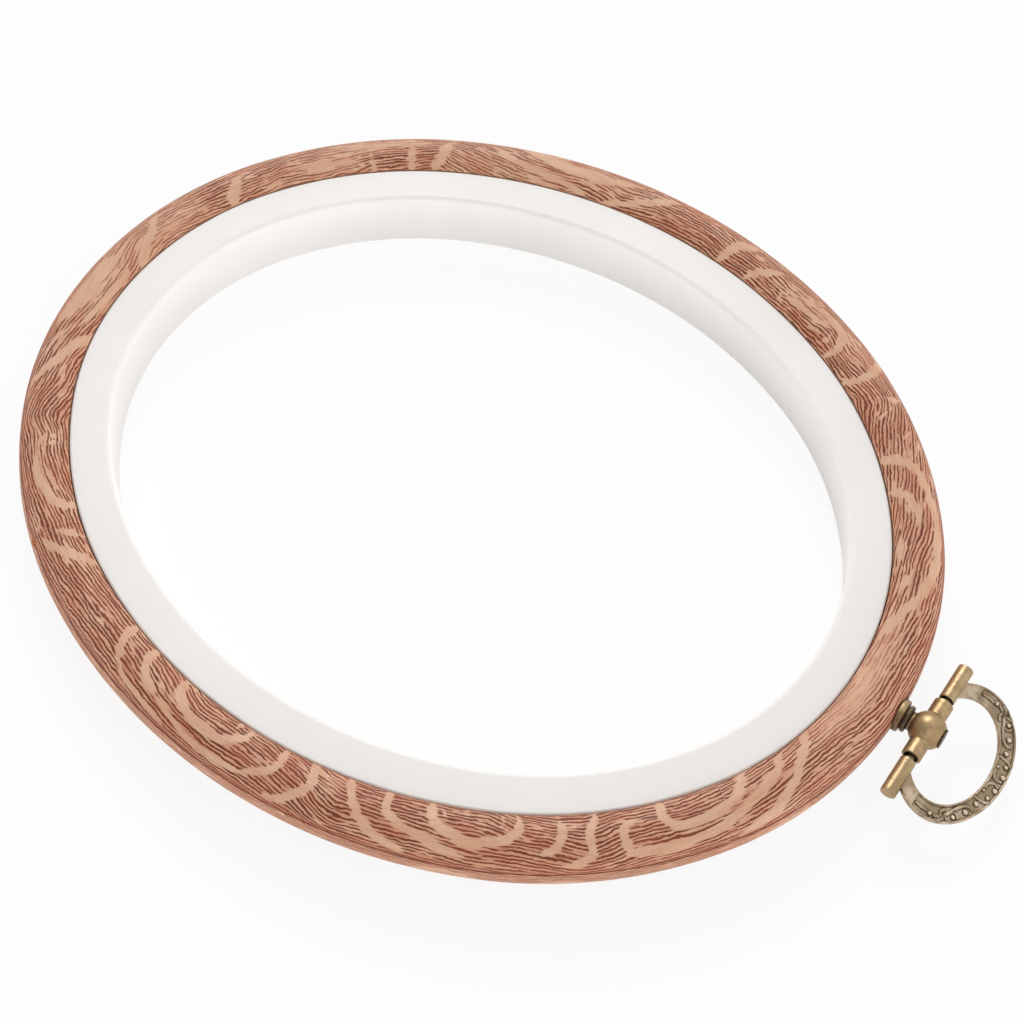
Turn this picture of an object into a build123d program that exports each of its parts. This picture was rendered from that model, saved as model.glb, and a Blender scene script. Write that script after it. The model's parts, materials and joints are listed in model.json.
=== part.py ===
from build123d import *

import math
import os

# An oval embroidery hoop that doubles as a picture frame. Millimetres, +Z up.
# The origin is the centre of the oval on the plane that the back rests on.
# +X runs along the long axis to the hanger, and +Z comes out of the display face.

# Oval seam between the two rings, which every other edge of the rings runs parallel to
seam_half_length = 64.7
seam_half_width = 53.8
# The oval is drawn as eight tangent arcs, and these keep it on the ellipse of those half axes
end_fullness = 1.025
end_arc_half_angle = 33.0
side_arc_start_angle = 63.4

# Inner ring: a rigid moulded channel, open at the back, with a lip that the outer ring sits on
face_height = 10.4
face_width = 6.4
inner_wall_setback = 0.4
ring_wall = 1.8
face_thickness = 2.0
lip_thickness = 1.3
lip_reach = 2.4
face_inner_edge_radius = 0.8
face_outer_edge_radius = 0.4
ring_clearance = 0.15

# Outer ring: a soft solid band with a rounded crown
band_width = 7.8
crown_height = 11.6
crown_inner_radius = 8.0
band_inner_corner_radius = 0.5
flank_radius = 10.0
heel_radius = 3.4

# Hanger stack along the X axis of the swivel
pivot_height = 7.4
pivot_standoff = 4.4
collar_seat_depth = 0.3
collar_seat_clearance = 0.15
collar_radius = 2.42
collar_flange_thickness = 0.8
collar_neck_radius = 1.75
collar_neck_length = 0.45
collar_edge_radius = 0.3
shoulder_radius = 2.0
shoulder_thickness = 0.6
shoulder_edge_radius = 0.2
sleeve_radius = 1.3
sleeve_clearance = 0.05
sleeve_length = 5.6
ring_hole_clearance = 0.1
shank_radius = 0.75
rivet_head_radius = 1.5
rivet_head_thickness = 0.26
rivet_head_edge_radius = 0.1
end_float = 0.05
running_clearance = 0.05
fixed_clearance = 0.01

# Screw that holds the hanger from inside the outer ring
screw_radius = 0.8
screw_length = 6.0
screw_head_radius = 2.3
screw_head_thickness = 0.7
screw_head_sink = 0.15
screw_head_clearance = 0.1
screw_head_edge_radius = 0.2
screw_slot_width = 0.5
screw_slot_depth = 0.35
tapped_depth_past_screw = 0.4

# Ball hub with its two cross stubs
ball_radius = 2.72
ball_boss_radius = 1.4
ball_front_flat_radius = 1.6
stub_radius = 1.45
stub_reach = 4.9
stub_mouth_radius = 1.05
stub_mouth_depth = 0.7
post_bore_to_pin = 0.4

# Two hinge pins, one in each stub
pin_radius = 0.65
pin_end_chamfer = 0.15
pin_end_gap = 0.2

# Bail: a flat D-shaped loop with a closed barrel at each end
barrel_radius = 1.17
barrel_gap = 0.7
barrel_length = 5.95
barrel_bore_depth = 4.9
barrel_mouth_radius = 0.95
barrel_mouth_depth = 0.3
barrel_edge_radius = 0.22
bail_tilt = -17.6
bail_outer_centre = 5.05
bail_outer_half_width = 11.2
bail_outer_half_depth = 8.05
bail_inner_centre = 4.62
bail_inner_half_width = 8.64
bail_inner_half_depth = 5.95
bail_thickness = 0.8
bail_rim_width = 0.35
bail_panel_depth = 0.16
bail_panel_start = 3.55
bail_leg_start = 0.4

# Places worked out from the sizes
band_outer_x = seam_half_length + band_width
collar_seat_x = band_outer_x - collar_seat_depth
collar_flange_front_x = collar_seat_x + collar_flange_thickness
shoulder_back_x = collar_flange_front_x + collar_neck_length
shoulder_front_x = shoulder_back_x + shoulder_thickness
pivot_x = band_outer_x + pivot_standoff
ball_boss_back_x = shoulder_front_x + end_float
ball_front_flat_x = pivot_x + math.sqrt(ball_radius**2 - ball_front_flat_radius**2)
rivet_head_back_x = ball_front_flat_x + end_float
rivet_head_front_x = rivet_head_back_x + rivet_head_thickness
sleeve_back_x = shoulder_back_x - sleeve_length
screw_head_back_x = seam_half_length + screw_head_sink
screw_head_front_x = screw_head_back_x + screw_head_thickness
screw_tip_x = screw_head_front_x + screw_length
post_bore_radius = shank_radius + running_clearance
pin_start_y = post_bore_radius + post_bore_to_pin
barrel_start_y = stub_reach + barrel_gap
barrel_end_y = barrel_start_y + barrel_length
pin_end_y = barrel_start_y + barrel_bore_depth - pin_end_gap
pivot = Vector(pivot_x, 0, pivot_height)

# How far a cutting shape runs past the face that it opens, and how near counts as being at a place
cut_past = 1.0
same_place = 1e-4


def oval_arcs():
    """Centre, radius, start angle and sweep of the eight arcs of the seam oval, going round from the hanger."""
    end_radius = end_fullness * seam_half_width**2 / seam_half_length
    first = math.radians(end_arc_half_angle)
    second = math.radians(side_arc_start_angle)
    # The corner and side radii solve the two conditions that the side arc's centre is on the Y axis
    # and that the side arc passes through the end of the short half axis.
    reach_x = seam_half_length - end_radius + end_radius * math.cos(first)
    reach_y = seam_half_width - end_radius * math.sin(first)
    cos_step = math.cos(first) - math.cos(second)
    sin_step = math.sin(second) - math.sin(first)
    determinant = cos_step * (1 - math.sin(second)) - sin_step * math.cos(second)
    corner_radius = (reach_x * (1 - math.sin(second)) - reach_y * math.cos(second)) / determinant
    side_radius = (reach_x - corner_radius * cos_step) / math.cos(second)
    end_centre = seam_half_length - end_radius
    corner_x = end_centre - (corner_radius - end_radius) * math.cos(first)
    corner_y = -(corner_radius - end_radius) * math.sin(first)
    side_y = seam_half_width - side_radius
    corner_arc = side_arc_start_angle - end_arc_half_angle
    side_arc = 2 * (90 - side_arc_start_angle)
    arcs = []
    for turn in (0, 180):
        sign = 1 if turn == 0 else -1
        arcs += [
            ((sign * end_centre, 0), end_radius, turn - end_arc_half_angle, 2 * end_arc_half_angle),
            ((sign * corner_x, sign * corner_y), corner_radius, turn + end_arc_half_angle, corner_arc),
            ((0, sign * side_y), side_radius, turn + side_arc_start_angle, side_arc),
            ((-sign * corner_x, sign * corner_y), corner_radius, turn + 180 - side_arc_start_angle, corner_arc),
        ]
    return arcs


def oval_ring(section):
    """A section drawn in (distance outside the seam, height), carried round the oval."""
    ring = None
    for (x, y), radius, start, sweep in oval_arcs():
        angle = math.radians(start)
        outward = Vector(math.cos(angle), math.sin(angle), 0)
        along = Vector(outward.Y, -outward.X, 0)
        plane = Plane(origin=(x, y, 0), x_dir=outward, z_dir=along)
        face = plane * Pos(radius, 0, 0) * section
        segment = revolve(face, Axis((x, y, 0), (0, 0, 1)), revolution_arc=sweep)
        ring = segment if ring is None else ring + segment
    return ring


def rod_x(radius, start, end):
    """A round rod on the swivel axis from one X to another."""
    return Pos((start + end) / 2, 0, pivot_height) * Rot(0, 90, 0) * Cylinder(radius, end - start)


def rod_y(radius, start, end):
    """A round rod on the hinge axis from one Y to another, about the hinge centre."""
    return Pos(0, (start + end) / 2, 0) * Rot(90, 0, 0) * Cylinder(radius, end - start)


def on_side(side):
    """Turns a piece made on the +Y side of the hinge centre to the side asked for, +1 or -1."""
    return Rot(0, 0, 90 - 90 * side)


def edges_at_x(shape, x):
    """The round edges of a turned piece that lie in the plane at that X."""
    return [e for e in shape.edges().filter_by(GeomType.CIRCLE) if abs(e.center().X - x) < same_place]


def outer_edge_at_x(shape, x):
    """The largest of those round edges."""
    return max(edges_at_x(shape, x), key=lambda e: e.radius)


def top_corners(section):
    """The corners of the inner ring's section on its display face, the one over the opening first."""
    return section.vertices().filter_by(lambda v: abs(v.Y - face_height) < same_place).sort_by(Axis.X)


def inner_ring_section():
    outer = -ring_clearance
    wall_inside = -face_width
    foot_inside = wall_inside + inner_wall_setback
    channel_top = face_height - face_thickness
    section = make_face(
        Polyline(
            (foot_inside, 0),
            (wall_inside, face_height),
            (outer, face_height),
            (outer, lip_thickness),
            (lip_reach, lip_thickness),
            (lip_reach, 0),
            (outer - ring_wall, 0),
            (outer - ring_wall, channel_top),
            (wall_inside + ring_wall, channel_top),
            (foot_inside + ring_wall, 0),
            close=True,
        )
    )
    section = fillet(top_corners(section)[0], face_inner_edge_radius)
    return fillet(top_corners(section)[-1], face_outer_edge_radius)


def outer_ring_section():
    crown_x = band_width / 2
    crown_radius = band_width - crown_x
    widest = crown_height - crown_radius
    # Arc from the crown towards the seam, then the small corner that turns down to the wall
    lean = math.degrees(
        math.asin((crown_x - band_inner_corner_radius) / (crown_inner_radius - band_inner_corner_radius))
    )
    step = crown_inner_radius - band_inner_corner_radius
    corner_height = crown_height - crown_inner_radius + step * math.cos(math.radians(lean))
    # Long flank below the widest line, then the heel that turns in to the flat underside
    fall = math.degrees(math.asin((widest - lip_thickness - heel_radius) / (flank_radius - heel_radius)))
    flank_x = band_width - flank_radius
    heel_x = flank_x + (flank_radius - heel_radius) * math.cos(math.radians(fall))
    heel_height = lip_thickness + heel_radius
    outline = [
        Line((0, lip_thickness), (0, corner_height)),
        CenterArc((band_inner_corner_radius, corner_height), band_inner_corner_radius, 180, lean - 90),
        CenterArc((crown_x, crown_height - crown_inner_radius), crown_inner_radius, 90 + lean, -lean),
        CenterArc((crown_x, widest), crown_radius, 90, -90),
        CenterArc((flank_x, widest), flank_radius, 0, -fall),
        CenterArc((heel_x, heel_height), heel_radius, -fall, fall - 90),
        Line((heel_x, lip_thickness), (0, lip_thickness)),
    ]
    return make_face(outline)


def make_inner_ring():
    return oval_ring(inner_ring_section())


def make_outer_ring():
    ring = oval_ring(outer_ring_section())
    hole_radius = sleeve_radius + ring_hole_clearance
    head_pocket_radius = screw_head_radius + screw_head_clearance
    collar_pocket_radius = collar_radius + collar_seat_clearance
    ring -= rod_x(hole_radius, seam_half_length - cut_past, band_outer_x + cut_past)
    ring -= rod_x(head_pocket_radius, seam_half_length - cut_past, screw_head_front_x)
    ring -= rod_x(collar_pocket_radius, collar_seat_x, band_outer_x + cut_past)
    return ring


def make_hanger_screw():
    screw = rod_x(screw_head_radius, screw_head_back_x, screw_head_front_x)
    screw = fillet(outer_edge_at_x(screw, screw_head_back_x), screw_head_edge_radius)
    screw += rod_x(screw_radius, screw_head_front_x, screw_tip_x)
    slot = Box(2 * screw_slot_depth, 3 * screw_head_radius, screw_slot_width)
    return screw - Pos(screw_head_back_x, 0, pivot_height) * slot


def make_base_collar():
    flange = rod_x(collar_radius, collar_seat_x, collar_flange_front_x)
    flange = fillet(
        [outer_edge_at_x(flange, collar_seat_x), outer_edge_at_x(flange, collar_flange_front_x)],
        collar_edge_radius,
    )
    collar = flange + rod_x(collar_neck_radius, collar_flange_front_x, shoulder_back_x)
    return collar - rod_x(sleeve_radius + sleeve_clearance, collar_seat_x - cut_past, shoulder_back_x + cut_past)


def make_swivel_post():
    shoulder = rod_x(shoulder_radius, shoulder_back_x, shoulder_front_x)
    shoulder = fillet(
        [outer_edge_at_x(shoulder, shoulder_back_x), outer_edge_at_x(shoulder, shoulder_front_x)],
        shoulder_edge_radius,
    )
    head = rod_x(rivet_head_radius, rivet_head_back_x, rivet_head_front_x)
    head = fillet(outer_edge_at_x(head, rivet_head_front_x), rivet_head_edge_radius)
    post = shoulder + rod_x(sleeve_radius, sleeve_back_x, shoulder_back_x)
    post += rod_x(shank_radius, shoulder_front_x, rivet_head_back_x) + head
    bore_end = screw_tip_x + tapped_depth_past_screw
    return post - rod_x(screw_radius + fixed_clearance, sleeve_back_x - cut_past, bore_end)


def make_ball_hub():
    hub = Pos(*pivot) * Sphere(ball_radius)
    hub += rod_x(ball_boss_radius, ball_boss_back_x, pivot_x)
    hub += Pos(*pivot) * rod_y(stub_radius, -stub_reach, stub_reach)
    hub -= rod_x(ball_radius, ball_front_flat_x, pivot_x + ball_radius + cut_past)
    hub -= rod_x(post_bore_radius, ball_boss_back_x - cut_past, ball_front_flat_x + cut_past)
    for side in (-1, 1):
        bore = rod_y(pin_radius + fixed_clearance, pin_start_y, stub_reach)
        bore += rod_y(stub_mouth_radius, stub_reach - stub_mouth_depth, stub_reach + cut_past)
        hub -= Pos(*pivot) * on_side(side) * bore
    return hub


def make_hinge_pin(side):
    pin = rod_y(pin_radius, pin_start_y + fixed_clearance, pin_end_y)
    pin = chamfer(pin.edges().filter_by(GeomType.CIRCLE), pin_end_chamfer)
    return Pos(*pivot) * on_side(side) * pin


def bail_oval(centre, half_depth, half_width):
    """An ellipse in the bail's plane, centred that far from the hinge axis."""
    return Pos(centre, 0) * Ellipse(half_depth, half_width)


def beyond(start):
    """Everything in the bail's plane that lies further from the hinge axis than that."""
    length = bail_outer_centre + bail_outer_half_depth - start + cut_past
    width = 2 * (bail_outer_half_width + cut_past)
    return Pos(start + length / 2, 0) * Rectangle(length, width)


def make_bail():
    outer = bail_oval(bail_outer_centre, bail_outer_half_depth, bail_outer_half_width)
    inner = bail_oval(bail_inner_centre, bail_inner_half_depth, bail_inner_half_width)
    loop = extrude((outer - inner) & beyond(bail_leg_start), bail_thickness / 2, both=True)
    panel_outer = bail_oval(
        bail_outer_centre, bail_outer_half_depth - bail_rim_width, bail_outer_half_width - bail_rim_width
    )
    panel_inner = bail_oval(
        bail_inner_centre, bail_inner_half_depth + bail_rim_width, bail_inner_half_width + bail_rim_width
    )
    panel = (panel_outer - panel_inner) & beyond(bail_panel_start)
    loop -= Pos(0, 0, bail_thickness / 2 - bail_panel_depth) * extrude(panel, bail_thickness)
    barrel = rod_y(barrel_radius, barrel_start_y, barrel_end_y)
    closed_end = barrel.edges().filter_by(GeomType.CIRCLE).sort_by(Axis.Y)[-1]
    barrel = fillet(closed_end, barrel_edge_radius)
    bore_start = barrel_start_y - barrel_gap / 2
    bore = rod_y(pin_radius + running_clearance, bore_start, barrel_start_y + barrel_bore_depth)
    bore += rod_y(barrel_mouth_radius, bore_start, barrel_start_y + barrel_mouth_depth)
    for side in (-1, 1):
        loop += on_side(side) * barrel
        loop -= on_side(side) * bore
    return Pos(*pivot) * Rot(0, -bail_tilt, 0) * loop


nodes = {
    "inner_ring": make_inner_ring(),
    "outer_ring": make_outer_ring(),
    "hanger_screw": make_hanger_screw(),
    "base_collar": make_base_collar(),
    "swivel_post": make_swivel_post(),
    "ball_hub": make_ball_hub(),
    "hinge_pin_left": make_hinge_pin(1),
    "hinge_pin_right": make_hinge_pin(-1),
    "bail": make_bail(),
}

os.makedirs("parts", exist_ok=True)
for name, shape in nodes.items():
    export_step(shape, f"parts/{name}.step")
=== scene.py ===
import json
import math

import bmesh
import bpy
import numpy as np
from mathutils import Matrix, Vector

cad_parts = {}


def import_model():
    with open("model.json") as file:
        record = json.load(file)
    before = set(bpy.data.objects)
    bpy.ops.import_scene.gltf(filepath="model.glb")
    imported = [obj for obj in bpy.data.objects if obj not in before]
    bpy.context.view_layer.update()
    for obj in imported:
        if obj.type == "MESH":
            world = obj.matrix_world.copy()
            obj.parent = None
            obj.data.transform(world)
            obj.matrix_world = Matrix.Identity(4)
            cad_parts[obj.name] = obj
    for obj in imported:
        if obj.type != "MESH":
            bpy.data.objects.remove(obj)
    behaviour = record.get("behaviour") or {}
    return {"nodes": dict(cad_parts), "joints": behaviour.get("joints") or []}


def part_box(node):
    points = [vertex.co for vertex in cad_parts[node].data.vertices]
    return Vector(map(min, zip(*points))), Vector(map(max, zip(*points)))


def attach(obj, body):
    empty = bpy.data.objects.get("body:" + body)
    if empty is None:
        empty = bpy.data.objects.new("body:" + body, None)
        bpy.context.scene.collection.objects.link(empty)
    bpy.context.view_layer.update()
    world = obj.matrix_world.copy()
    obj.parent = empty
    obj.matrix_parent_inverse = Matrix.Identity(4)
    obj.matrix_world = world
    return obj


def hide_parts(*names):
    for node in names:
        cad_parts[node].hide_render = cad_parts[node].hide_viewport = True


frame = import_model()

# Looks of an oval embroidery hoop. Lengths are millimetres, and a mesh is scaled to metres as it is made.
# The frame is the model's: +Z out of the display face, +X along the long axis to the hanger.
MM = 0.001
sharp_angle = math.radians(42)
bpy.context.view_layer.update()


def node_box(name):
    """Lowest and highest corner of a solid of the model, in millimetres."""
    low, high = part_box(name)
    return low / MM, high / MM


ring_low, ring_high = node_box("outer_ring")
_, inner_high = node_box("inner_ring")
collar_low, collar_high = node_box("base_collar")
screw_low, screw_high = node_box("hanger_screw")
post_low, post_high = node_box("swivel_post")
hub_low, hub_high = node_box("ball_hub")
pivot = next(Vector(joint["pos_m"]) / MM for joint in frame["joints"] if joint["name"] == "bail_pivot")

# Outer ring section, in distance outside the seam and height
band_width = 7.8
crown_inner_radius = 8.0
seam_corner_radius = 0.5
flank_radius = 10.0
heel_radius = 3.4
crown_height = ring_high.z
lip_height = ring_low.z

# Oval of the seam, drawn as eight tangent arcs
seam_half_length = -ring_low.x - band_width
seam_half_width = ring_high.y - band_width
end_fullness = 1.025
end_arc_half_angle = 33.0
side_arc_start_angle = 63.4

# Inner ring section
face_height = inner_high.z
face_width = 6.4
wall_setback = 0.4
ring_wall = 1.8
face_thickness = 2.0
lip_reach = 2.4
ring_clearance = 0.15
face_inner_edge_radius = 0.8
face_outer_edge_radius = 0.4
channel_corner_radius = 0.3
lip_corner_radius = 0.1
foot_edge_radius = 0.15

# Seats that the hanger has in the outer ring
collar_seat_radius = 2.57
head_pocket_radius = 2.4
head_pocket_depth = 0.7
ring_hole_radius = 1.4

# Collar and post
collar_bore_radius = 1.35
collar_neck_radius = 1.75
collar_neck_length = 0.25
collar_edge_radius = 0.22
tapped_hole_radius = 0.82
tapped_depth_past_screw = 0.4
sleeve_radius = 1.3
shoulder_radius = 2.0
shoulder_thickness = 0.6
shank_radius = 0.75
rivet_radius = 1.5
rivet_thickness = 0.26
post_edge_radius = 0.12

# Hub
ball_radius = 2.72
boss_radius = 1.4
post_bore_radius = 0.8
stub_radius = 1.45
stub_reach = 4.9
stub_mouth_radius = 1.05
stub_mouth_depth = 0.7
pin_bore_radius = 0.66
pin_bore_start = 1.2
hub_grid = 0.07

# Bail: its D is two half ellipses as (centre, reach, half width), outwards from the hinge and along it
barrel_radius = 1.17
barrel_start = 5.6
barrel_length = 5.95
barrel_bore_radius = 0.7
barrel_bore_depth = 4.9
barrel_mouth_radius = 0.95
barrel_mouth_depth = 0.3
barrel_edge_radius = 0.1
bail_tilt = math.radians(-17.6)
bail_outer = (5.05, 8.05, 11.2)
bail_inner = (4.62, 5.95, 8.64)
bail_half_thickness = 0.4
bail_edge_radius = 0.13
bail_softness = 0.09
bail_plain_level = 0.75
bail_rim_width = 0.35
bail_panel_depth = 0.24
bail_panel_start = 3.55
bail_leg_start = 0.85
stroke_spread = 0.11
bead_spread = 0.05
bead_rise = 1.3

# Camera: its lens, place and axes
camera_lens = 71.421
camera_place = Vector((100.251, -136.045, 262.683))
camera_right = Vector((0.826087, 0.563540, -0.001761))
camera_up = Vector((-0.475401, 0.698555, 0.534803))


def srgb(red, green, blue):
    """A colour given as 0 to 255 on a screen, as the linear colour that shaders take."""
    def linear(value):
        value /= 255
        return value / 12.92 if value <= 0.04045 else ((value + 0.055) / 1.055) ** 2.4
    return (linear(red), linear(green), linear(blue), 1.0)


# Oval paths and outlines


def oval_arcs():
    """Centre, radius, start angle and sweep of the seam's eight arcs, going round from the hanger."""
    end_radius = end_fullness * seam_half_width**2 / seam_half_length
    first = math.radians(end_arc_half_angle)
    second = math.radians(side_arc_start_angle)
    reach_x = seam_half_length - end_radius + end_radius * math.cos(first)
    reach_y = seam_half_width - end_radius * math.sin(first)
    cos_step = math.cos(first) - math.cos(second)
    sin_step = math.sin(second) - math.sin(first)
    determinant = cos_step * (1 - math.sin(second)) - sin_step * math.cos(second)
    corner_radius = (reach_x * (1 - math.sin(second)) - reach_y * math.cos(second)) / determinant
    side_radius = (reach_x - corner_radius * cos_step) / math.cos(second)
    end_x = seam_half_length - end_radius
    corner_x = end_x - (corner_radius - end_radius) * math.cos(first)
    corner_y = -(corner_radius - end_radius) * math.sin(first)
    side_y = seam_half_width - side_radius
    corner_arc = side_arc_start_angle - end_arc_half_angle
    side_arc = 2 * (90 - side_arc_start_angle)
    arcs = []
    for turn, sign in ((0, 1), (180, -1)):
        mirrored = turn + 180 - side_arc_start_angle
        arcs += [
            (sign * end_x, 0, end_radius, turn - end_arc_half_angle, 2 * end_arc_half_angle),
            (sign * corner_x, sign * corner_y, corner_radius, turn + end_arc_half_angle, corner_arc),
            (0, sign * side_y, side_radius, turn + side_arc_start_angle, side_arc),
            (-sign * corner_x, sign * corner_y, corner_radius, mirrored, corner_arc),
        ]
    return arcs


def oval_stations(step):
    """Points round the seam about that far apart: distance round from the hanger, place, outward direction.

    The distances have one more entry, which closes the round, and the seam's length comes last.
    """
    travel, places, outwards = [], [], []
    done = 0.0
    for x, y, radius, start, sweep in oval_arcs():
        length = radius * math.radians(sweep)
        count = math.ceil(length / step)
        for k in range(count):
            angle = math.radians(start + sweep * k / count)
            out = (math.cos(angle), math.sin(angle))
            places.append((x + radius * out[0], y + radius * out[1]))
            outwards.append(out)
            travel.append(done + length * k / count)
        done += length
    hanger_at = oval_arcs()[0][2] * math.radians(end_arc_half_angle)
    travel = np.array(travel) - hanger_at
    return np.append(travel, done - hanger_at), np.array(places), np.array(outwards), done


def ring_points(places, outwards, out, height):
    """Points of a ring's mesh: rows go round the seam, columns along its section."""
    flat = places[:, None, :] + outwards[:, None, :] * out[..., None]
    height = np.broadcast_to(height, flat.shape[:2])
    return np.concatenate([flat, height[..., None]], 2).reshape(-1, 3)


def arc_points(centre, radius, start, end, step):
    """Points on an arc in the section plane, from one angle to another in degrees, both ends included."""
    count = max(2, math.ceil(abs(math.radians(end - start)) * radius / step) + 1)
    angles = np.radians(np.linspace(start, end, count))
    return np.stack([centre[0] + radius * np.cos(angles), centre[1] + radius * np.sin(angles)], 1)


def corner_points(back, here, ahead, radius, step=None):
    """Points on the arc that rounds a corner, at most that step apart, or five of them.

    The arc reaches at most halfway to the corner's neighbours.
    """
    to_back = np.subtract(back, here).astype(float)
    to_ahead = np.subtract(ahead, here).astype(float)
    reach = min(np.linalg.norm(to_back), np.linalg.norm(to_ahead)) / 2
    to_back /= np.linalg.norm(to_back)
    to_ahead /= np.linalg.norm(to_ahead)
    half = math.acos(np.clip(to_back @ to_ahead, -1, 1)) / 2
    setback = min(radius / math.tan(half), reach)
    size = setback * math.tan(half)
    middle = here + (to_back + to_ahead) / np.linalg.norm(to_back + to_ahead) * size / math.sin(half)
    first = here + to_back * setback - middle
    last = here + to_ahead * setback - middle
    count = 5
    if step:
        count = max(3, math.ceil((math.pi - 2 * half) * radius / step) + 1)
    turns = [(1 - share) * first + share * last for share in np.linspace(0, 1, count)]
    return [middle + turn / np.linalg.norm(turn) * size for turn in turns]


def filled(points, gap, closed=True):
    """An outline with points added where two lie further apart than that gap."""
    out = []
    for here, there in zip(points, np.roll(points, -1, axis=0) if closed else points[1:]):
        count = max(1, math.ceil(np.linalg.norm(there - here) / gap))
        out += [here + (there - here) * k / count for k in range(count)]
    if not closed:
        out.append(points[-1])
    return np.array(out)


def rounded_section(corners):
    """A closed outline from (x, y, corner radius) points, with its corners rounded."""
    points = []
    for k, (x, y, radius) in enumerate(corners):
        back = corners[k - 1][:2]
        ahead = corners[(k + 1) % len(corners)][:2]
        points += corner_points(back, (x, y), ahead, radius, 0.09)
    return filled(np.array(points), 1.2)


def rounded_profile(points, radius):
    """An open outline of (place, radius) points with its inner corners rounded."""
    out = [np.array(points[0], float)]
    for back, here, ahead in zip(points, points[1:], points[2:]):
        out += corner_points(back, here, ahead, radius)
    out.append(np.array(points[-1], float))
    return filled(np.array(out), 0.4, closed=False)


def rod_outline(start, end, radius):
    return [(start, 0), (start, radius), (end, radius), (end, 0)]


def smooth_step(value, low, high):
    share = np.clip((value - low) / (high - low), 0, 1)
    return share * share * (3 - 2 * share)


def smooth_path(points, gap=0.25):
    """Points close together on a smooth curve through the points given."""
    points = np.array(points, float)
    ends = np.concatenate([[2 * points[0] - points[1]], points, [2 * points[-1] - points[-2]]])
    out = []
    for before, here, there, after in zip(ends, ends[1:], ends[2:], ends[3:]):
        count = max(2, math.ceil(np.linalg.norm(there - here) / gap))
        share = (np.arange(count) / count)[:, None]
        first = (there - before) / 2
        last = (after - here) / 2
        out.append(
            (2 * share**3 - 3 * share**2 + 1) * here + (share**3 - 2 * share**2 + share) * first
            + (3 * share**2 - 2 * share**3) * there + (share**3 - share**2) * last)
    out.append(points[-1:])
    return np.concatenate(out)


# Meshes and pieces


def new_mesh(name, vertices, faces):
    """A mesh from points in millimetres."""
    mesh = bpy.data.meshes.new(name)
    faces = [tuple(int(i) for i in face) for face in faces]
    mesh.from_pydata((np.asarray(vertices) * MM).tolist(), [], faces)
    mesh.validate()
    return mesh


def grid_faces(rows, columns, wrap_rows=True, wrap_columns=True):
    """Four-sided faces over a grid of points, as (row, column) corners and as point numbers.

    The corners aren't wrapped, so that a map over the grid can run on past where it closes.
    """
    row, column = np.meshgrid(
        np.arange(rows if wrap_rows else rows - 1),
        np.arange(columns if wrap_columns else columns - 1),
        indexing="ij",
    )
    row, column = row.ravel(), column.ravel()
    corners = np.stack(
        [np.stack([row, column], 1), np.stack([row + 1, column], 1),
         np.stack([row + 1, column + 1], 1), np.stack([row, column + 1], 1)], 1)
    numbers = corners[..., 0] % rows * columns + corners[..., 1] % columns
    return corners, numbers


def add_uv(mesh, name, first, second):
    """A UV map from two values at each corner of each face."""
    layer = mesh.uv_layers.new(name=name)
    layer.data.foreach_set("uv", np.stack([first, second], -1).astype(np.float32).ravel())


def weld(mesh, distance=1e-4):
    """Joins points that lie together and turns all faces outwards."""
    work = bmesh.new()
    work.from_mesh(mesh)
    bmesh.ops.remove_doubles(work, verts=work.verts, dist=distance * MM)
    bmesh.ops.recalc_face_normals(work, faces=work.faces)
    work.to_mesh(mesh)
    work.free()
    return mesh


def lathe(name, profile, axis, segments=96):
    """A mesh turned about the swivel's axis 'x' or the hinge's axis 'y'.

    The outline holds (place along the axis, radius), where places along y start at the pivot.
    """
    profile = np.asarray(profile, float)
    angles = np.linspace(0, 2 * math.pi, segments, endpoint=False)
    along = np.broadcast_to(profile[:, 0], (segments, len(profile)))
    side = np.cos(angles)[:, None] * profile[:, 1]
    height = np.sin(angles)[:, None] * profile[:, 1]
    if axis == "x":
        points = np.stack((along, side, height), -1) + np.array((0, pivot.y, pivot.z))
    else:
        points = np.stack((side, along, height), -1) + np.array(pivot)
    _, numbers = grid_faces(segments, len(profile), True, False)
    return weld(new_mesh(name, points.reshape(-1, 3), numbers))


def linked(name, data):
    """A new object in the scene."""
    made = bpy.data.objects.new(name, data)
    bpy.context.scene.collection.objects.link(made)
    return made


def piece(name, mesh, body, material):
    """An object from a mesh, which rides on a body and takes a material."""
    made = linked(name, mesh)
    mesh.materials.clear()
    mesh.materials.append(material)
    mesh.polygons.foreach_set("use_smooth", [True] * len(mesh.polygons))
    mesh.set_sharp_from_angle(angle=sharp_angle)
    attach(made, body)
    return made


def evaluated(name, mesh, *modifiers):
    """A new mesh from a mesh with modifiers, each given as (kind, settings)."""
    work = linked(name, mesh)
    for kind, settings in modifiers:
        added = work.modifiers.new(kind, kind)
        for key, value in settings.items():
            setattr(added, key, value)
    graph = bpy.context.evaluated_depsgraph_get()
    changed = work.evaluated_get(graph)
    result = bpy.data.meshes.new_from_object(changed, preserve_all_data_layers=True, depsgraph=graph)
    bpy.data.objects.remove(work)
    result.name = name
    return result


def cut(name, mesh, tool_mesh, operation="DIFFERENCE"):
    """The mesh with a tool cut out of it or joined to it."""
    tool = linked("cutter", tool_mesh)
    result = evaluated(name, mesh, ("BOOLEAN", {"object": tool, "operation": operation, "solver": "EXACT"}))
    bpy.data.objects.remove(tool)
    return result


# Shader nodes


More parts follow.
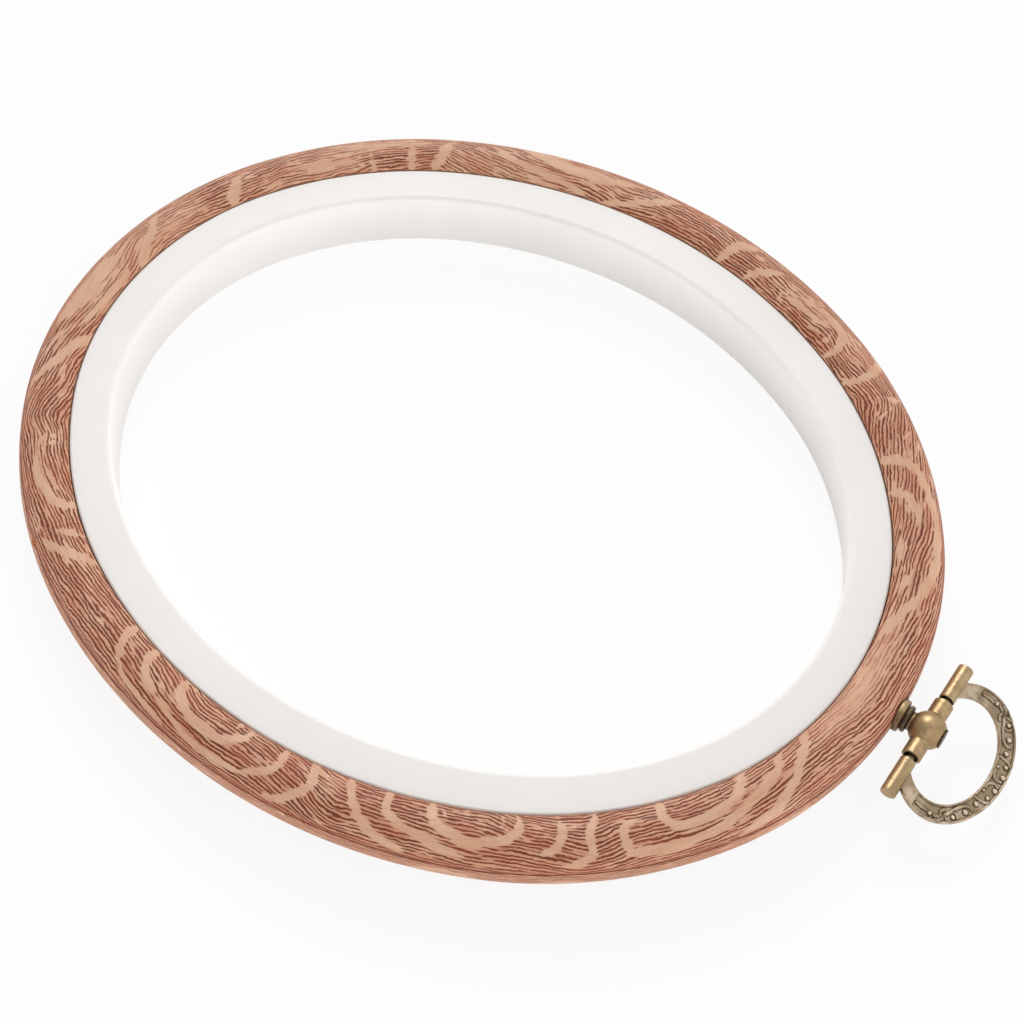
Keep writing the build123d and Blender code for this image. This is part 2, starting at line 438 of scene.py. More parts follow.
class Graph:
    """The nodes of a material or the world, with short ways to add what the finishes share."""

    def __init__(self, owner):
        owner.use_nodes = True
        self.tree = owner.node_tree
        self.tree.nodes.clear()

    def plug(self, value, socket):
        if isinstance(value, bpy.types.NodeSocket):
            self.tree.links.new(value, socket)
        else:
            socket.default_value = value

    def add(self, kind, inputs=(), **settings):
        made = self.tree.nodes.new(kind)
        for key, value in settings.items():
            setattr(made, key, value)
        for key, value in dict(inputs).items():
            self.plug(value, made.inputs[key])
        return made

    def math(self, operation, *values):
        return self.add("ShaderNodeMath", dict(enumerate(values)), operation=operation).outputs[0]

    def times(self, a, b):
        return self.math("MULTIPLY", a, b)

    def plus(self, a, b):
        return self.math("ADD", a, b)

    def minus(self, a, b):
        return self.math("SUBTRACT", a, b)

    def larger(self, a, b):
        return self.math("MAXIMUM", a, b)

    def unsigned(self, a):
        return self.math("ABSOLUTE", a)

    def vector(self, x, y, z=0.0):
        return self.add("ShaderNodeCombineXYZ", {0: x, 1: y, 2: z}).outputs[0]

    def split(self, vector):
        return self.add("ShaderNodeSeparateXYZ", {0: vector}).outputs

    def uv(self, name):
        return self.add("ShaderNodeUVMap", uv_map=name).outputs[0]

    def place(self):
        """The object's own coordinates, in millimetres."""
        metres = self.add("ShaderNodeTexCoord").outputs["Object"]
        return self.add("ShaderNodeVectorMath", {0: metres, 3: 1 / MM}, operation="SCALE").outputs[0]

    def noise(self, vector, scale, detail=2.0, roughness=0.5):
        inputs = {"Vector": vector, "Scale": scale, "Detail": detail, "Roughness": roughness}
        return self.add("ShaderNodeTexNoise", inputs).outputs[0]

    def fade(self, value, low, high, start=0.0, end=1.0, kind="SMOOTHSTEP"):
        """A step from start to end as the value goes from low to high."""
        inputs = {"Value": value, "From Min": low, "From Max": high, "To Min": start, "To Max": end}
        return self.add("ShaderNodeMapRange", inputs, interpolation_type=kind).outputs[0]

    def mix(self, share, first, second, blend="MIX"):
        inputs = {0: share, 6: first, 7: second}
        return self.add("ShaderNodeMix", inputs, data_type="RGBA", blend_type=blend).outputs[2]

    def choose(self, share, first, second):
        return self.add("ShaderNodeMix", {0: share, 2: first, 3: second}).outputs[0]

    def occlusion(self, distance):
        inputs = {"Distance": distance * MM}
        return self.add("ShaderNodeAmbientOcclusion", inputs, samples=8).outputs["AO"]


class Finish(Graph):
    """A material with one shader."""

    def __init__(self, name):
        self.material = bpy.data.materials.new(name)
        super().__init__(self.material)
        self.shader = self.add("ShaderNodeBsdfPrincipled")
        self.output = self.add("ShaderNodeOutputMaterial", {"Surface": self.shader.outputs[0]})

    def bump(self, height, depth):
        """Links a bump whose height of 1 is that many millimetres."""
        made = self.add("ShaderNodeBump", {"Strength": 1.0, "Distance": depth * MM, "Height": height})
        self.plug(made.outputs[0], self.shader.inputs["Normal"])

    def surface(self, **inputs):
        for key, value in inputs.items():
            self.plug(value, self.shader.inputs[key.replace("_", " ")])


# Colours, where a brass is its bright, middle and brown tone
wood_tan = srgb(217, 175, 145)
wood_pink = srgb(212, 161, 131)
wood_red = srgb(178, 107, 78)
lane_pale = srgb(213, 173, 144)
lane_warm = srgb(207, 161, 131)
streak_brown = srgb(100, 48, 22)
streak_red = srgb(132, 57, 33)
parting_red = srgb(106, 48, 38)
gate_orange = srgb(178, 106, 62)
vinyl_core = srgb(190, 150, 122)
plastic_white = (0.87, 0.84, 0.815, 1.0)
plastic_warm_white = (0.84, 0.805, 0.775, 1.0)
barrel_brass = (srgb(208, 183, 140), srgb(168, 143, 106), srgb(90, 70, 47))
ball_brass = (srgb(214, 186, 140), srgb(168, 140, 102), srgb(92, 68, 42))
collar_brass = (srgb(222, 198, 156), srgb(136, 109, 78), srgb(60, 42, 29))
# The post's brass is a darker copy of the others: painted shade, for a shoulder that sits shadowed between
# collar and ball; the riveted end takes it too
post_brass_painted_shade = (srgb(154, 138, 116), srgb(92, 76, 58), srgb(44, 33, 24))
bail_metal = (srgb(240, 221, 194), srgb(166, 145, 118), srgb(104, 84, 61))
# Dark brown of the creases: patina in the brass, and painted shade in the tight gaps and round the pins and
# screw
crease_patina_and_shade = srgb(66, 50, 34)
plating_light = srgb(152, 136, 104)
plating_dull = srgb(104, 90, 66)

# Wood print: pale lanes as (width, points of distance round the seam and distance across the band)
lanes = [
    (1.4, [
        (7, 1), (10, 2), (12, 3.1), (13.6, 4.1), (15.4, 5), (18, 5.9), (20, 6.6), (23, 6.9), (27, 6.9),
        (30, 6.5), (32.5, 5.9), (34.5, 5.3), (36, 4.2), (36.9, 3), (37.4, 1.5), (37.8, -1)]),
    (1.6, [(14.8, 1.4), (16.4, 2.2), (18.4, 3.2)]),
    (1.1, [(20.2, 1.1), (22.5, 1.2), (24.4, 1.1)]),
    (1.2, [(32, -0.5), (31.8, 1.2), (31.2, 2.4), (30.2, 3.3), (28.8, 3.8), (27, 4.1), (25, 4.2)]),
    (0.6, [(40.9, 4), (40.4, 5), (41.2, 6)]),
    (0.5, [(43.4, 1.2), (44.6, 2.6), (45, 3.8), (45.6, 5)]),
    (1.3, [(47.5, 4.8), (46.9, 5.8), (47, 7.4)]),
    (1.3, [
        (52.9, -1), (52.6, 0.6), (51.9, 2), (51.7, 3.3), (51.9, 4.6), (52.3, 5.6), (53.2, 7.2), (54.5, 9)]),
    (1.3, [
        (58.5, -1), (58.3, 0.5), (58, 2.2), (58.5, 3.5), (59.5, 4.5), (60.7, 5.2), (62.5, 5.4), (65, 5.2)]),
    (1, [(61.4, 0.4), (60.6, 1.6), (60.3, 2.6), (60.9, 3.6)]),
    (0.9, [(61.9, 3.9), (64, 3.3), (67, 2.9), (69.5, 2.6), (71, 2)]),
    (0.9, [(69.8, 0.3), (70.6, 1.4), (71.3, 2.2), (70.6, 3)]),
    (1.4, [(77.8, -0.6), (77.3, 1), (76.5, 2.4), (75.6, 3.2), (74.7, 4.1), (73.8, 5)]),
    (1.6, [(83.1, -0.8), (82.8, 0.8), (82.4, 2.4), (82.1, 3.8), (81.3, 4.8), (80.2, 5.6), (79, 6.3)]),
    (0.8, [(91.2, 2.3), (92.6, 2.5)]),
    (1.2, [
        (106, -0.4), (104.4, 0.3), (102.8, 0.8), (101.2, 1.4), (99.8, 2.1), (98.2, 3), (96.6, 4), (95.2, 5),
        (94, 5.8)]),
    (1.3, [(100.5, 5.6), (103, 4.9), (105.5, 4), (107.5, 3.1), (109.3, 2.6)]),
    (2, [(106, 4.8), (109, 4.2), (112, 4.3), (114.5, 5.1), (117, 5.8), (119.5, 6.4)]),
    (1.3, [
        (107.5, 0.5), (110, 1), (112, 1.5), (114.4, 1.8), (116.9, 2.3), (118.9, 2.8), (120.4, 3.4),
        (121.9, 4.2), (123.2, 5), (124.5, 5.9)]),
    (0.7, [(112.5, 0.2), (115, 0.6), (117.5, 1.1), (119.2, 2.4)]),
    (1.8, [
        (133.6, -0.8), (133.2, 0.6), (132.6, 1.8), (131.9, 3), (131.7, 4.2), (131.3, 5.2), (130.6, 6.2)]),
    (1.3, [(136.9, -1), (137, 1), (137.1, 2.3), (136.9, 3.6), (136.9, 4.8)]),
    (1.1, [(143, -1), (143.2, 1), (143.4, 2), (143.5, 3)]),
    (0.8, [(144.8, 1.2), (145.6, 1.8), (145.3, 2.8)]),
    (1, [(133, 5.2), (135, 5.1), (137, 4.8), (140, 4.9), (143, 4.8), (147, 4.9)]),
    (0.9, [(145.4, 2.1), (147, 2), (149, 2.1), (151, 1.7), (153.6, 1.9)]),
    (0.8, [(149, 3.7), (151, 2.6), (153.5, 2.6), (156, 2.9)]),
    (2, [(167.2, -0.8), (166.8, 0.8), (166.3, 2), (165.4, 3.2), (164.6, 4.2), (163.9, 5.2)]),
    (1.35, [
        (186.8, -0.4), (184.8, 1), (182.8, 2.2), (180.9, 3.3), (179.6, 4.4), (178.3, 5.6), (177.2, 6.6)]),
    (0.9, [(187.5, 2), (189, 1.2), (191.5, 1), (194, 1.2), (196.5, 1.7), (198.8, 2.2), (200.8, 2.7)]),
    (1.2, [(190.5, 3), (193, 3), (195.5, 3.3), (197.2, 3.7)]),
    (2.2, [(186.5, 4.6), (190, 4.8), (194, 4.9), (198, 5.3), (201, 6.2)]),
    (0.8, [(199.5, 3.4), (201.5, 4), (203, 4.8), (204.5, 5.4), (206.5, 5.9)]),
    (1.5, [
        (200.6, -0.4), (202.3, 0.8), (204, 1.9), (205.6, 2.9), (207.1, 3.9), (208.5, 4.9), (210, 6),
        (211.5, 7.2)]),
    (0.7, [(207.6, 2.5), (209, 2.5), (210.4, 2.3), (211.6, 2.8)]),
    (0.7, [(221.6, 0.6), (220.8, 1.6), (220.6, 3), (221.2, 4.3), (223.8, 4.9)]),
    (0.6, [(223.2, 0.9), (222, 1.6), (221.8, 2.8), (222.6, 3.7), (224, 4.1)]),
    (1.4, [
        (233.1, -1), (233, 0.8), (232.8, 2.2), (231.8, 3.2), (230, 4), (228, 4.7), (225.5, 5), (223.6, 4.8)]),
    (0.7, [(231.4, 1), (229.3, 2.4), (227.5, 3.4), (225.5, 4)]),
    (1.3, [(238.9, 0.2), (238, 1.9), (237.3, 3), (236.9, 4)]),
    (1.4, [
        (244.2, -0.5), (243.6, 0.6), (242.3, 2), (241.3, 3.2), (240.3, 4.3), (239.1, 5.2), (237.8, 6.1),
        (236.8, 7)]),
    (0.8, [(249.9, 3), (249.4, 4.3)]),
    (0.7, [(251.8, 2.2), (251.5, 3), (251.8, 3.8), (252.8, 4.5)]),
    (1.4, [(256.5, -1), (256.6, 1), (256.9, 2.5), (257.7, 3.8), (258.9, 5.2), (260.4, 6.2)]),
    (0.9, [(259.4, 5.7), (261.6, 6.7), (263.5, 7), (266.5, 7.4), (270, 7.9)]),
    (1.4, [(261.5, -1), (261.6, 0.6), (262, 2.5), (263.2, 3.9), (265, 4.7), (267.6, 5.4)]),
    (1.0, [(266, 5), (269.5, 5.8), (271.5, 6.5), (273.5, 7), (277, 7.2), (280, 7.2), (283, 6.4)]),
    (1.2, [(281.5, 6.9), (284.5, 5.7), (285.8, 4.6), (286.5, 3.2), (286.3, 0.8), (286.2, -1)]),
    (1.4, [
        (268.1, -1), (268.3, 0.8), (268.8, 2.3), (270, 3.3), (271.5, 4.1), (273, 4.6), (276, 4.8),
        (278, 4.4), (279.5, 3.2), (280.5, 2), (280.8, 0.4)]),
    (1.2, [(278.6, -0.5), (278.7, 0.8), (278.5, 1.9)]),
    (1.4, [
        (290.5, -1), (290.9, 1), (291.5, 2.6), (291.7, 3.8), (291, 5.1), (290.1, 6.2), (289, 7.2),
        (287.6, 7.9), (285.5, 8.2)]),
    (1.3, [
        (296, -0.6), (296.3, 1), (297, 2.6), (298, 4.2), (298.9, 5.2), (300, 6.2), (301.3, 7), (302.8, 7.9),
        (304.5, 8.3), (306.5, 8.6)]),
    (1.3, [
        (301.6, -1), (301.9, 1.2), (302, 2.9), (302.8, 4.1), (304.5, 5), (306.5, 5.6), (308.5, 6.3),
        (310.5, 7), (313, 7.4)]),
    (1.5, [
        (307.7, -0.6), (307.9, 1.2), (308.2, 2.7), (309.2, 3.9), (311, 4.7), (312.5, 5.3), (314, 5.5),
        (316, 5.1), (318, 4.5), (319.2, 3.6), (319.6, 2.5), (319.4, 0.8)]),
    (0.9, [(309.2, 0.8), (309.6, 1.8), (310.4, 2.9)]),
    (1, [(317.2, 0.8), (317.5, 1.8), (317.3, 3)]),
    (1.3, [(324.6, 0.8), (325.1, 3), (324.9, 4.3), (324.4, 5.3), (323.3, 6), (321.8, 6.8)]),
    (1.2, [
        (329.9, -0.6), (329.2, 2), (328.6, 3.5), (328.6, 5), (328.7, 6.5), (328, 7.3), (326.5, 7.8),
        (324.6, 8.4)]),
    (1.3, [
        (335.6, 2.6), (333.6, 3), (332.8, 4.2), (333, 5.8), (333.6, 7), (335.8, 7.3), (338.3, 7.4),
        (342, 7), (344.3, 6.6), (346.5, 6.1), (348.8, 5.4), (350.8, 4.7), (352, 4.1), (353.3, 3.5),
        (354.8, 2.7), (355.8, 1.7), (356.6, 0)]),
    (1.4, [
        (338.3, -0.6), (338.3, 1), (338.2, 2.8), (338.8, 4.1), (340.2, 4.8), (342, 4.9), (344.3, 4.7),
        (346.3, 4.1), (348, 3.5), (349.2, 2.5), (350.1, 1), (350.4, -0.6)]),
    (0.7, [(339.2, 1.8), (340.6, 3.2)]),
    (1.3, [
        (361.9, -0.6), (361, 0.9), (359.8, 2.2), (358.3, 3.3), (357, 4.4), (355.5, 5.5), (354.3, 6.1),
        (353, 6.8), (351.8, 7.5), (349.8, 8.2), (347, 8.9)]),
]

# The way that the streaks run in each part of the print: places as above, and the angle across the band
streak_runs = [
    (3, 3, -3), (5.5, 2.6, 12), (3, 4.5, -3), (2, 5.5, 3), (3, 6.5, 6), (2, 7.3, 3), (7, 6.4, 12),
    (6, 4.5, 12), (8.5, 4, 15), (9, 5.6, 14), (11, 4.7, 22), (12, 6, 17), (10.5, 7, 10), (12.5, 1.9, 17),
    (14, 2.9, 14), (14.5, 5.2, 16), (16.5, 6.2, 20), (18.5, 6.9, 12), (17, 4.3, 3), (19, 1.7, 8),
    (21.5, 2.1, 6), (20, 3.4, 12), (23, 2.8, 25), (20.5, 4.8, 35), (22, 5, 45), (23.5, 4.8, 38),
    (25.5, 3.2, 18), (26.5, 2, 24), (28.5, 1.6, 22), (29, 2.5, 12), (26.5, 5, 17), (29, 5, 14),
    (28, 5.6, 15), (34, 1, 14), (33.5, 2, 22), (35.5, 2, 22), (33.3, 3.3, 20), (32.5, 4.3, 25),
    (34.5, 3.5, 18), (31, 4.5, 25), (36.8, 6.3, 40), (38.8, 1.5, 18), (40, 2, 19), (42.3, 2.3, 20),
    (43.5, 1, 32), (44.8, 1.5, 36), (46.8, 2.5, 38), (48.8, 1.5, 38), (47.3, 0.8, 36), (38.8, 3.8, 18),
    (41, 3.8, 22), (42.8, 3.8, 24), (41.3, 6.2, 36), (39.3, 5.5, 24), (43.5, 5, 28), (44.8, 6.2, 36),
    (46.5, 3.8, 38), (48.3, 4.5, -25), (49, 4, -25), (49.8, 3, -32), (49.8, 2, -38), (49.8, 5, -14),
    (48.5, 6, -10), (51, 1.5, -30), (50.5, 4.8, -6), (53.5, 1, -6), (54.3, 2, -10), (53.8, 3, -13),
    (55.8, 2.5, -12), (54.8, 3.8, -10), (53.8, 4.5, -4), (56.3, 4.2, -8), (56.5, 1.1, 25), (57, 2.7, -8),
    (54.8, 0.6, -3), (59.7, 1.2, -58), (59, 2.5, 80), (59.4, 3.4, 55), (60, 4, 35), (61.8, 1.5, -6),
    (64.8, 1, -3), (67.3, 1.2, 0), (68.5, 1.5, 4), (62.3, 2.2, -10), (61.8, 3.1, -16), (63.5, 2.6, -10),
    (66, 2.2, -3), (68.5, 2.1, 2), (63, 4.4, -8), (66, 3.9, -4), (69, 3.5, -4), (61.8, 4.6, -4),
    (70.3, 1.5, -20), (72.8, 3, 4), (70.8, 3.5, -6), (72.3, 4.2, 0), (69.8, 4.5, 0), (73.5, 3.4, 4),
    (74, 1.5, -15), (72.3, 1.5, 10), (71.8, 5, 0), (75.3, 0.6, 15), (75.6, 1.5, 12), (79.6, 0.6, 0),
    (79.6, 1.5, -2), (79.6, 2.5, 3), (78.6, 3.2, 0), (80.6, 2, 0), (77.1, 3.9, 0), (79.6, 4.1, 3),
    (77.6, 4.6, 0), (78.4, 5.2, 3), (75.9, 5, 0), (84.1, 2.5, 18), (84.9, 3, 30), (85.9, 3.4, 25),
    (84.6, 1, 5), (84.9, 1.8, 15), (84, 3.8, 18), (83.8, 4.4, 10), (85.1, 4.2, 15), (87.1, 0.9, 0),
    (88.4, 1.2, 2), (88.4, 1.9, 0), (89.6, 2.4, -1), (87.1, 2.4, 3), (87.6, 2.9, 6), (87.1, 3.5, 8),
    (88.6, 3.5, 2), (89.6, 4, 0), (88.4, 4.6, -3), (86.6, 4.6, -8), (92.1, 0.9, 0), (92.1, 1.5, 2),
    (93.6, 1, 8), (92.1, 3.2, 5), (90.9, 3.8, 4), (92.1, 4.2, 3), (94.1, 1.6, 4), (94.1, 2.5, -8),
    (95.1, 2.2, -12), (95.9, 1.5, -8), (94.6, 3.2, -5), (96.1, 2.9, -14), (94.6, 4.1, 4), (93.6, 4.6, 6),
    (95.9, 0.8, 0), (97.1, 0.8, -3), (97.6, 1.2, -10), (97.1, 2, -10), (99.9, 1, -14), (98.6, 1.8, -12),
    (99.6, 2.9, -12), (101.1, 2.2, -14), (100.9, 3.2, 3), (102.1, 3.1, 12), (100.6, 4, 2), (103.4, 3.8, 2),
    (104.1, 3.5, 6), (103.6, 1.9, 33), (104.6, 2.4, 28), (105.9, 1.2, 25), (106.4, 2, 24), (104.6, 2.8, 22),
    (102.9, 2.4, 25), (107.1, 2.4, 18), (107.6, 1.8, 18), (110.6, 2, 5), (110.6, 2.6, 6), (111.6, 1.5, 14),
    (109.6, 2.5, 8), (110.6, 3.2, 4), (99.6, 4.8, 2), (113.4, 0.6, 12), (115.6, 1.3, 17), (116.9, 1.4, 16),
    (117.6, 0.8, 20), (113.4, 2.3, 12), (113.4, 2.9, 15), (115.1, 2.9, 14), (116.9, 3.3, 15),
    (115.1, 3.5, 15), (117.4, 4, 18), (119.4, 4.1, 20), (120.1, 4.6, 22), (121.4, 5, 20), (119.4, 0.9, 10),
    (120.4, 1.5, 16), (121.1, 2, 25), (121.9, 1.5, 22), (121.9, 2.5, 32), (122.9, 1.5, 22),
    (120.6, 2.5, 24), (123.1, 3.2, 28), (123.9, 0.8, 22), (124.4, 1.8, 28), (124.9, 2.8, 34),
    (125.4, 3.8, 38), (125.9, 4.5, 25), (123.9, 3.8, 32), (126.9, 2.8, 28), (126.9, 1.5, 28),
    (125.9, 0.9, 20), (126.9, 4.2, 32), (128.1, 1.5, 34), (129.4, 1, 34), (130.4, 1.8, 34),
    (129.4, 2.8, 30), (129.1, 3.8, 25), (127.9, 2.2, 34), (130.9, 1.1, 34), (127.9, 5, 20),
    (129.9, 4.8, 18), (133.6, 2.2, -32), (134.4, 1.8, -24), (135.4, 1.5, -18), (135.1, 2.4, -20),
    (135.9, 1, -4), (134.9, 0.7, 3), (134.4, 3.2, -12), (135.4, 3.5, -5), (133.4, 3, -32), (134.4, 4, 0),
    (138.4, 1, -4), (139.4, 1.5, -8), (140.6, 1.5, -10), (139.4, 2.4, -12), (141.4, 2.1, -8),
    (140.6, 2.9, -8), (141.4, 3.2, 8), (138.9, 2.7, -12), (141.9, 1, -4), (138.4, 3.4, 0), (139.9, 3.9, 3),
    (142.4, 3.2, 10), (142.1, 1.5, -6), (144.1, 2, -55), (144.5, 0.8, -48), (144.2, 2.6, 5),
    (147.4, 1, -12), (148.6, 0.8, -15), (147.9, 1.5, -12), (146.4, 1.2, -20), (147.6, 2.8, 2),
    (146.6, 3.1, -3), (146.9, 3.9, 4), (148.1, 4.4, 3), (145.6, 3.8, -3), (149.7, 0.6, -18),
    (151.7, 0.6, -5), (152.9, 0.6, 4), (155.4, 0.6, 0), (156.7, 0.8, 5), (154.9, 1.5, -4), (155.4, 1.9, 6),
    (156.7, 1.4, 8), (157.7, 2.2, 4), (156.2, 2.5, 2), (158.4, 2, 0), (150.7, 2.5, -4), (153.7, 3.2, 1),
    (155.2, 4.2, -5), (157.4, 4, -14), (158.2, 3.4, -22), (159.9, 2.4, -24), (160.4, 1.5, -12),
    (160.4, 0.8, -10), (162.2, 1, -6), (163.2, 1.5, 0), (162.4, 2.5, -2), (163.9, 2.2, -3),
    (159.9, 3.4, -15), (160.7, 4, 4), (162.2, 4, 3), (163.2, 3.1, 0), (163.2, 4.8, 4), (168.7, 0.8, 10),
    (169.2, 1.3, 10), (168.9, 2.1, 5), (169.7, 2.8, 5), (168.7, 3.2, 3), (168.9, 3.9, 3), (168.2, 4.4, 0),
    (169.9, 1.5, 3), (171.7, 0.8, -3), (171.7, 1.5, 8), (172.9, 1.5, 12), (173.4, 2.1, 14),
    (171.4, 2.9, 10), (172.9, 3.4, 14), (174.2, 2.8, 14), (175.4, 2.2, 14), (175.4, 3.5, 12),
    (174.2, 4, 10), (176.7, 3, 12), (177.9, 2.8, 10), (176.2, 4.5, 8), (174.7, 5, 8), (171.7, 4.5, 3),
    (170.4, 4.8, 0), (176.7, 1.2, 9), (178.7, 0.8, 3), (180.4, 1.2, -5), (180.9, 1.9, 0), (177.9, 3.6, 14),
    (185.2, 2, -34), (184.2, 3.2, -30), (183.7, 4.5, -26), (185.7, 3.2, -30), (181.4, 3.9, 4),
    (182.4, 5.2, 0), (183.7, 2.4, -30), (186.1, 2.5, -30), (180.4, 5.1, 5), (187.5, 0.6, 0), (188, 0.9, -8),
    (190.8, 0.4, 5), (191.8, 0.7, 4), (194.8, 0.6, 4), (196.5, 0.7, 12), (189.5, 2.1, 0), (190.3, 2.6, 0),
    (192.3, 2.4, 3), (194, 2.1, 6), (195.3, 2.5, 12), (197, 2.4, 10), (188, 3.2, 0), (191.3, 3.1, -7),
    (196.8, 3, 12), (198.5, 3.2, 12), (197.8, 1, 12), (199.5, 1.5, 18), (201.5, 2, 15), (200.5, 1.2, 20),
    (202.8, 2.4, 16), (198.5, 2, 10), (204, 2.9, 18), (201.8, 3, 15), (203, 3.4, 18), (204.5, 3.9, 16),
    (206.3, 4.2, 20), (198, 3.9, 12), (199.5, 4, 18), (200.5, 4.6, 20), (202, 5.4, 22), (203, 6, 20),
    (205.3, 4.9, 15), (206.5, 5.2, 20), (207.8, 5.9, 20), (205.5, 1, 30), (206.3, 1.5, 24),
    (207.5, 1.6, 26), (207.8, 2.1, 12), (207.9, 2.9, -5), (208.5, 3.8, 25), (209.8, 4.2, 25),
    (209.3, 4.9, 25), (210.8, 4.8, 26), (211.5, 5.6, 30), (213, 6, 26), (209, 1, 22), (210.3, 1.5, 26),
    (210.5, 2.4, 15), (211.5, 1.4, 20), (209.8, 0.5, 5), (211.5, 0.8, 12), (213, 1, 22), (212.3, 2.8, 45),
    (213, 3.8, 45), (213.8, 4.5, 42), (212, 4.1, 30), (213.3, 5.1, 34), (214, 1.5, 36), (215.3, 1.5, 38),
    (216.5, 2, 38), (214.8, 2.5, 38), (215.8, 3.2, 38), (216.5, 3.9, 38), (216.8, 1.2, 36),
    (217.1, 2.9, 38), (215, 4.6, 35), (216.1, 5.1, 35), (213.5, 6.1, 28), (214.8, 6, 30), (215.5, 6.6, 6),
    (217.8, 0.6, 10), (218.8, 1.2, -24), (219, 2.2, -32), (218.6, 3, -35), (218.1, 4.4, -64),
    (217.8, 5, -64), (219, 4.8, -34), (219.8, 5.1, -40), (219, 5.8, -34), (221.5, 5.9, -14),
    (222.5, 6.4, -12), (221, 6.8, -13), (218.3, 6.8, -20), (217, 6.2, -16), (221.2, 2.5, 85),
    (221.4, 3.7, 55), (222.5, 2.2, -20), (222.8, 3, -12), (223.3, 2.1, -13), (223.3, 1.2, -12),
    (222.3, 0.9, -14), (223, 4.1, -6), (220.3, 1, -12), (224.5, 1.2, -16), (225.5, 2.6, -14),
    (225, 3.6, -12), (227, 3.9, -18), (229.5, 2.4, -20), (226, 6, -5), (228.5, 5.5, -22), (231, 4.9, -16),
    (232.5, 3.5, -22), (234, 2.7, -22), (234.8, 1, 0), (234.5, 3.4, -17), (230, 6.8, -8), (232.5, 5.3, -15),
    (235, 5.3, -4), (234.5, 6, -6), (236.5, 4.5, -5), (236.8, 5.3, -3), (239.8, 2, -18), (239.5, 1.2, -6),
    (239.5, 3.3, -12), (243.5, 3.5, -16), (242.8, 4.3, -10), (245, 2, -13), (246, 3.5, -11),
    (245.5, 4.3, -8), (248, 2.6, -14), (249.5, 1.5, -16), (252, 1.2, -14), (251.5, 2, -12),
    (254.5, 1.4, -4), (242, 5.6, -8), (244.5, 5.3, -12), (246.5, 4.8, 0), (248.5, 4.9, -4), (250.3, 4.6, 0),
    (253.5, 3, -6), (253.5, 4.5, 0), (254, 5.2, 2), (250, 5.8, -6), (252, 6.5, 0), (246, 6.6, 0),
    (255.5, 6, 4), (257.5, 6.3, 8), (250, 7.6, 0), (256, 7.5, 2), (244, 7.4, 0), (239.5, 6.8, -6),
    (259.3, 1.2, 2), (259.5, 2.4, 0), (260, 3.4, 12), (260.5, 4.6, 12), (264, 2, 25), (266, 3.2, 20),
    (268.5, 4.3, 12), (265.5, 6.4, 3), (274, 1, 0), (275, 3.4, 0), (270.8, 1.2, 42), (276, 5.6, 14),
    (279, 5.2, 12), (281, 4.9, -10), (282.5, 1.4, 10), (284.5, 1.8, 24), (283, 2.9, 15), (283, 3.7, 17),
    (283.5, 4.8, 20), (288, 1.9, 17), (288.5, 3.6, 30), (288.5, 4.9, 28), (287, 5.7, 18), (286, 6.6, 15),
    (283.5, 7.5, 10), (292.5, 5.2, 42), (293.5, 5.8, 45), (294, 7.5, 60), (292.3, 6.8, 50),
    (296.5, 5.7, -8), (296.5, 7.2, -10), (294, 3.2, 15), (293.8, 4.4, 20), (299.5, 2.5, 0), (300, 5.4, 8),
    (303.6, 1.7, -15), (304.5, 3.2, 15), (305.5, 4, 12), (308, 4.6, 10), (306.5, 4.7, 14), (309, 5.1, 14),
    (312, 6.2, 10), (314.5, 6.4, 5), (315.5, 5.9, -8), (317.5, 5.6, -11), (312.5, 1.8, 3), (312.5, 3.6, 0),
    (315, 4, -2), (317.9, 2.2, 60), (303, 6.2, 0), (304.5, 6.6, -5), (306.5, 7.2, 5), (311, 8, 7),
    (309, 7.8, 6), (300.5, 7.8, 3), (315, 7.2, 14), (317.5, 6.6, -8), (319.5, 6.8, 5), (320, 7.5, 0),
    (318, 8.3, 10), (321.5, 1.8, 16), (321.5, 3.2, 18), (321.5, 4.6, 20), (320.5, 5.2, 12), (326, 2.6, 10),
    (326.8, 5.2, 38), (325.5, 6.2, 35), (324, 6.9, 25), (326.8, 1.6, -5), (330.5, 1.4, -20),
    (330.5, 2.4, -22), (330.5, 4, -18), (331, 5, -16), (331, 6.3, -25), (331.5, 7.2, -30),
    (332.5, 8.1, -27), (334, 8, -22), (335, 5.2, 0), (335, 1, 5), (327.5, 8.6, 5), (341, 1.5, 5),
    (342, 2.4, 0), (344, 2, 0), (340.5, 3.7, 5), (343.5, 3.9, -7), (346, 3, -12), (345.5, 1.2, -5),
    (338, 5.4, 10), (337, 6, -3), (340, 6.2, -9), (343.5, 5.9, -10), (347, 4.9, -10), (349.5, 4.4, -8),
    (349, 3.6, -10), (351.5, 1.5, -4), (352, 2.6, -8), (351.5, 3.2, -6), (355, 3.6, -10), (357, 2.9, -16),
    (358, 1.5, -8), (353.5, 4.6, -19), (350, 5.9, -15), (352.5, 5.7, -14), (346, 6.9, -11), (344, 7.6, -6),
    (346.5, 7.7, -9), (342.5, 8, -5), (349.5, 7.2, -12), (337, 8.2, -8), (339.5, 8, -15), (360.5, 4, 0),
    (358.5, 4.7, 0), (362, 4.8, 0), (361, 5.8, 4), (363.5, 5.5, 10), (365.5, 6, 15), (368, 6.6, 13),
    (371, 6.7, 6), (369, 5.7, 12), (357, 6.3, -10), (357, 7.4, -3), (359.5, 6.6, 0), (362, 7.2, 0),
    (364.5, 7.6, 40), (366, 8, 40), (367, 7.2, 28), (355, 8.2, -10), (366, 2, 2), (370, 2.8, 3),
    (364, 1.4, 0),
]

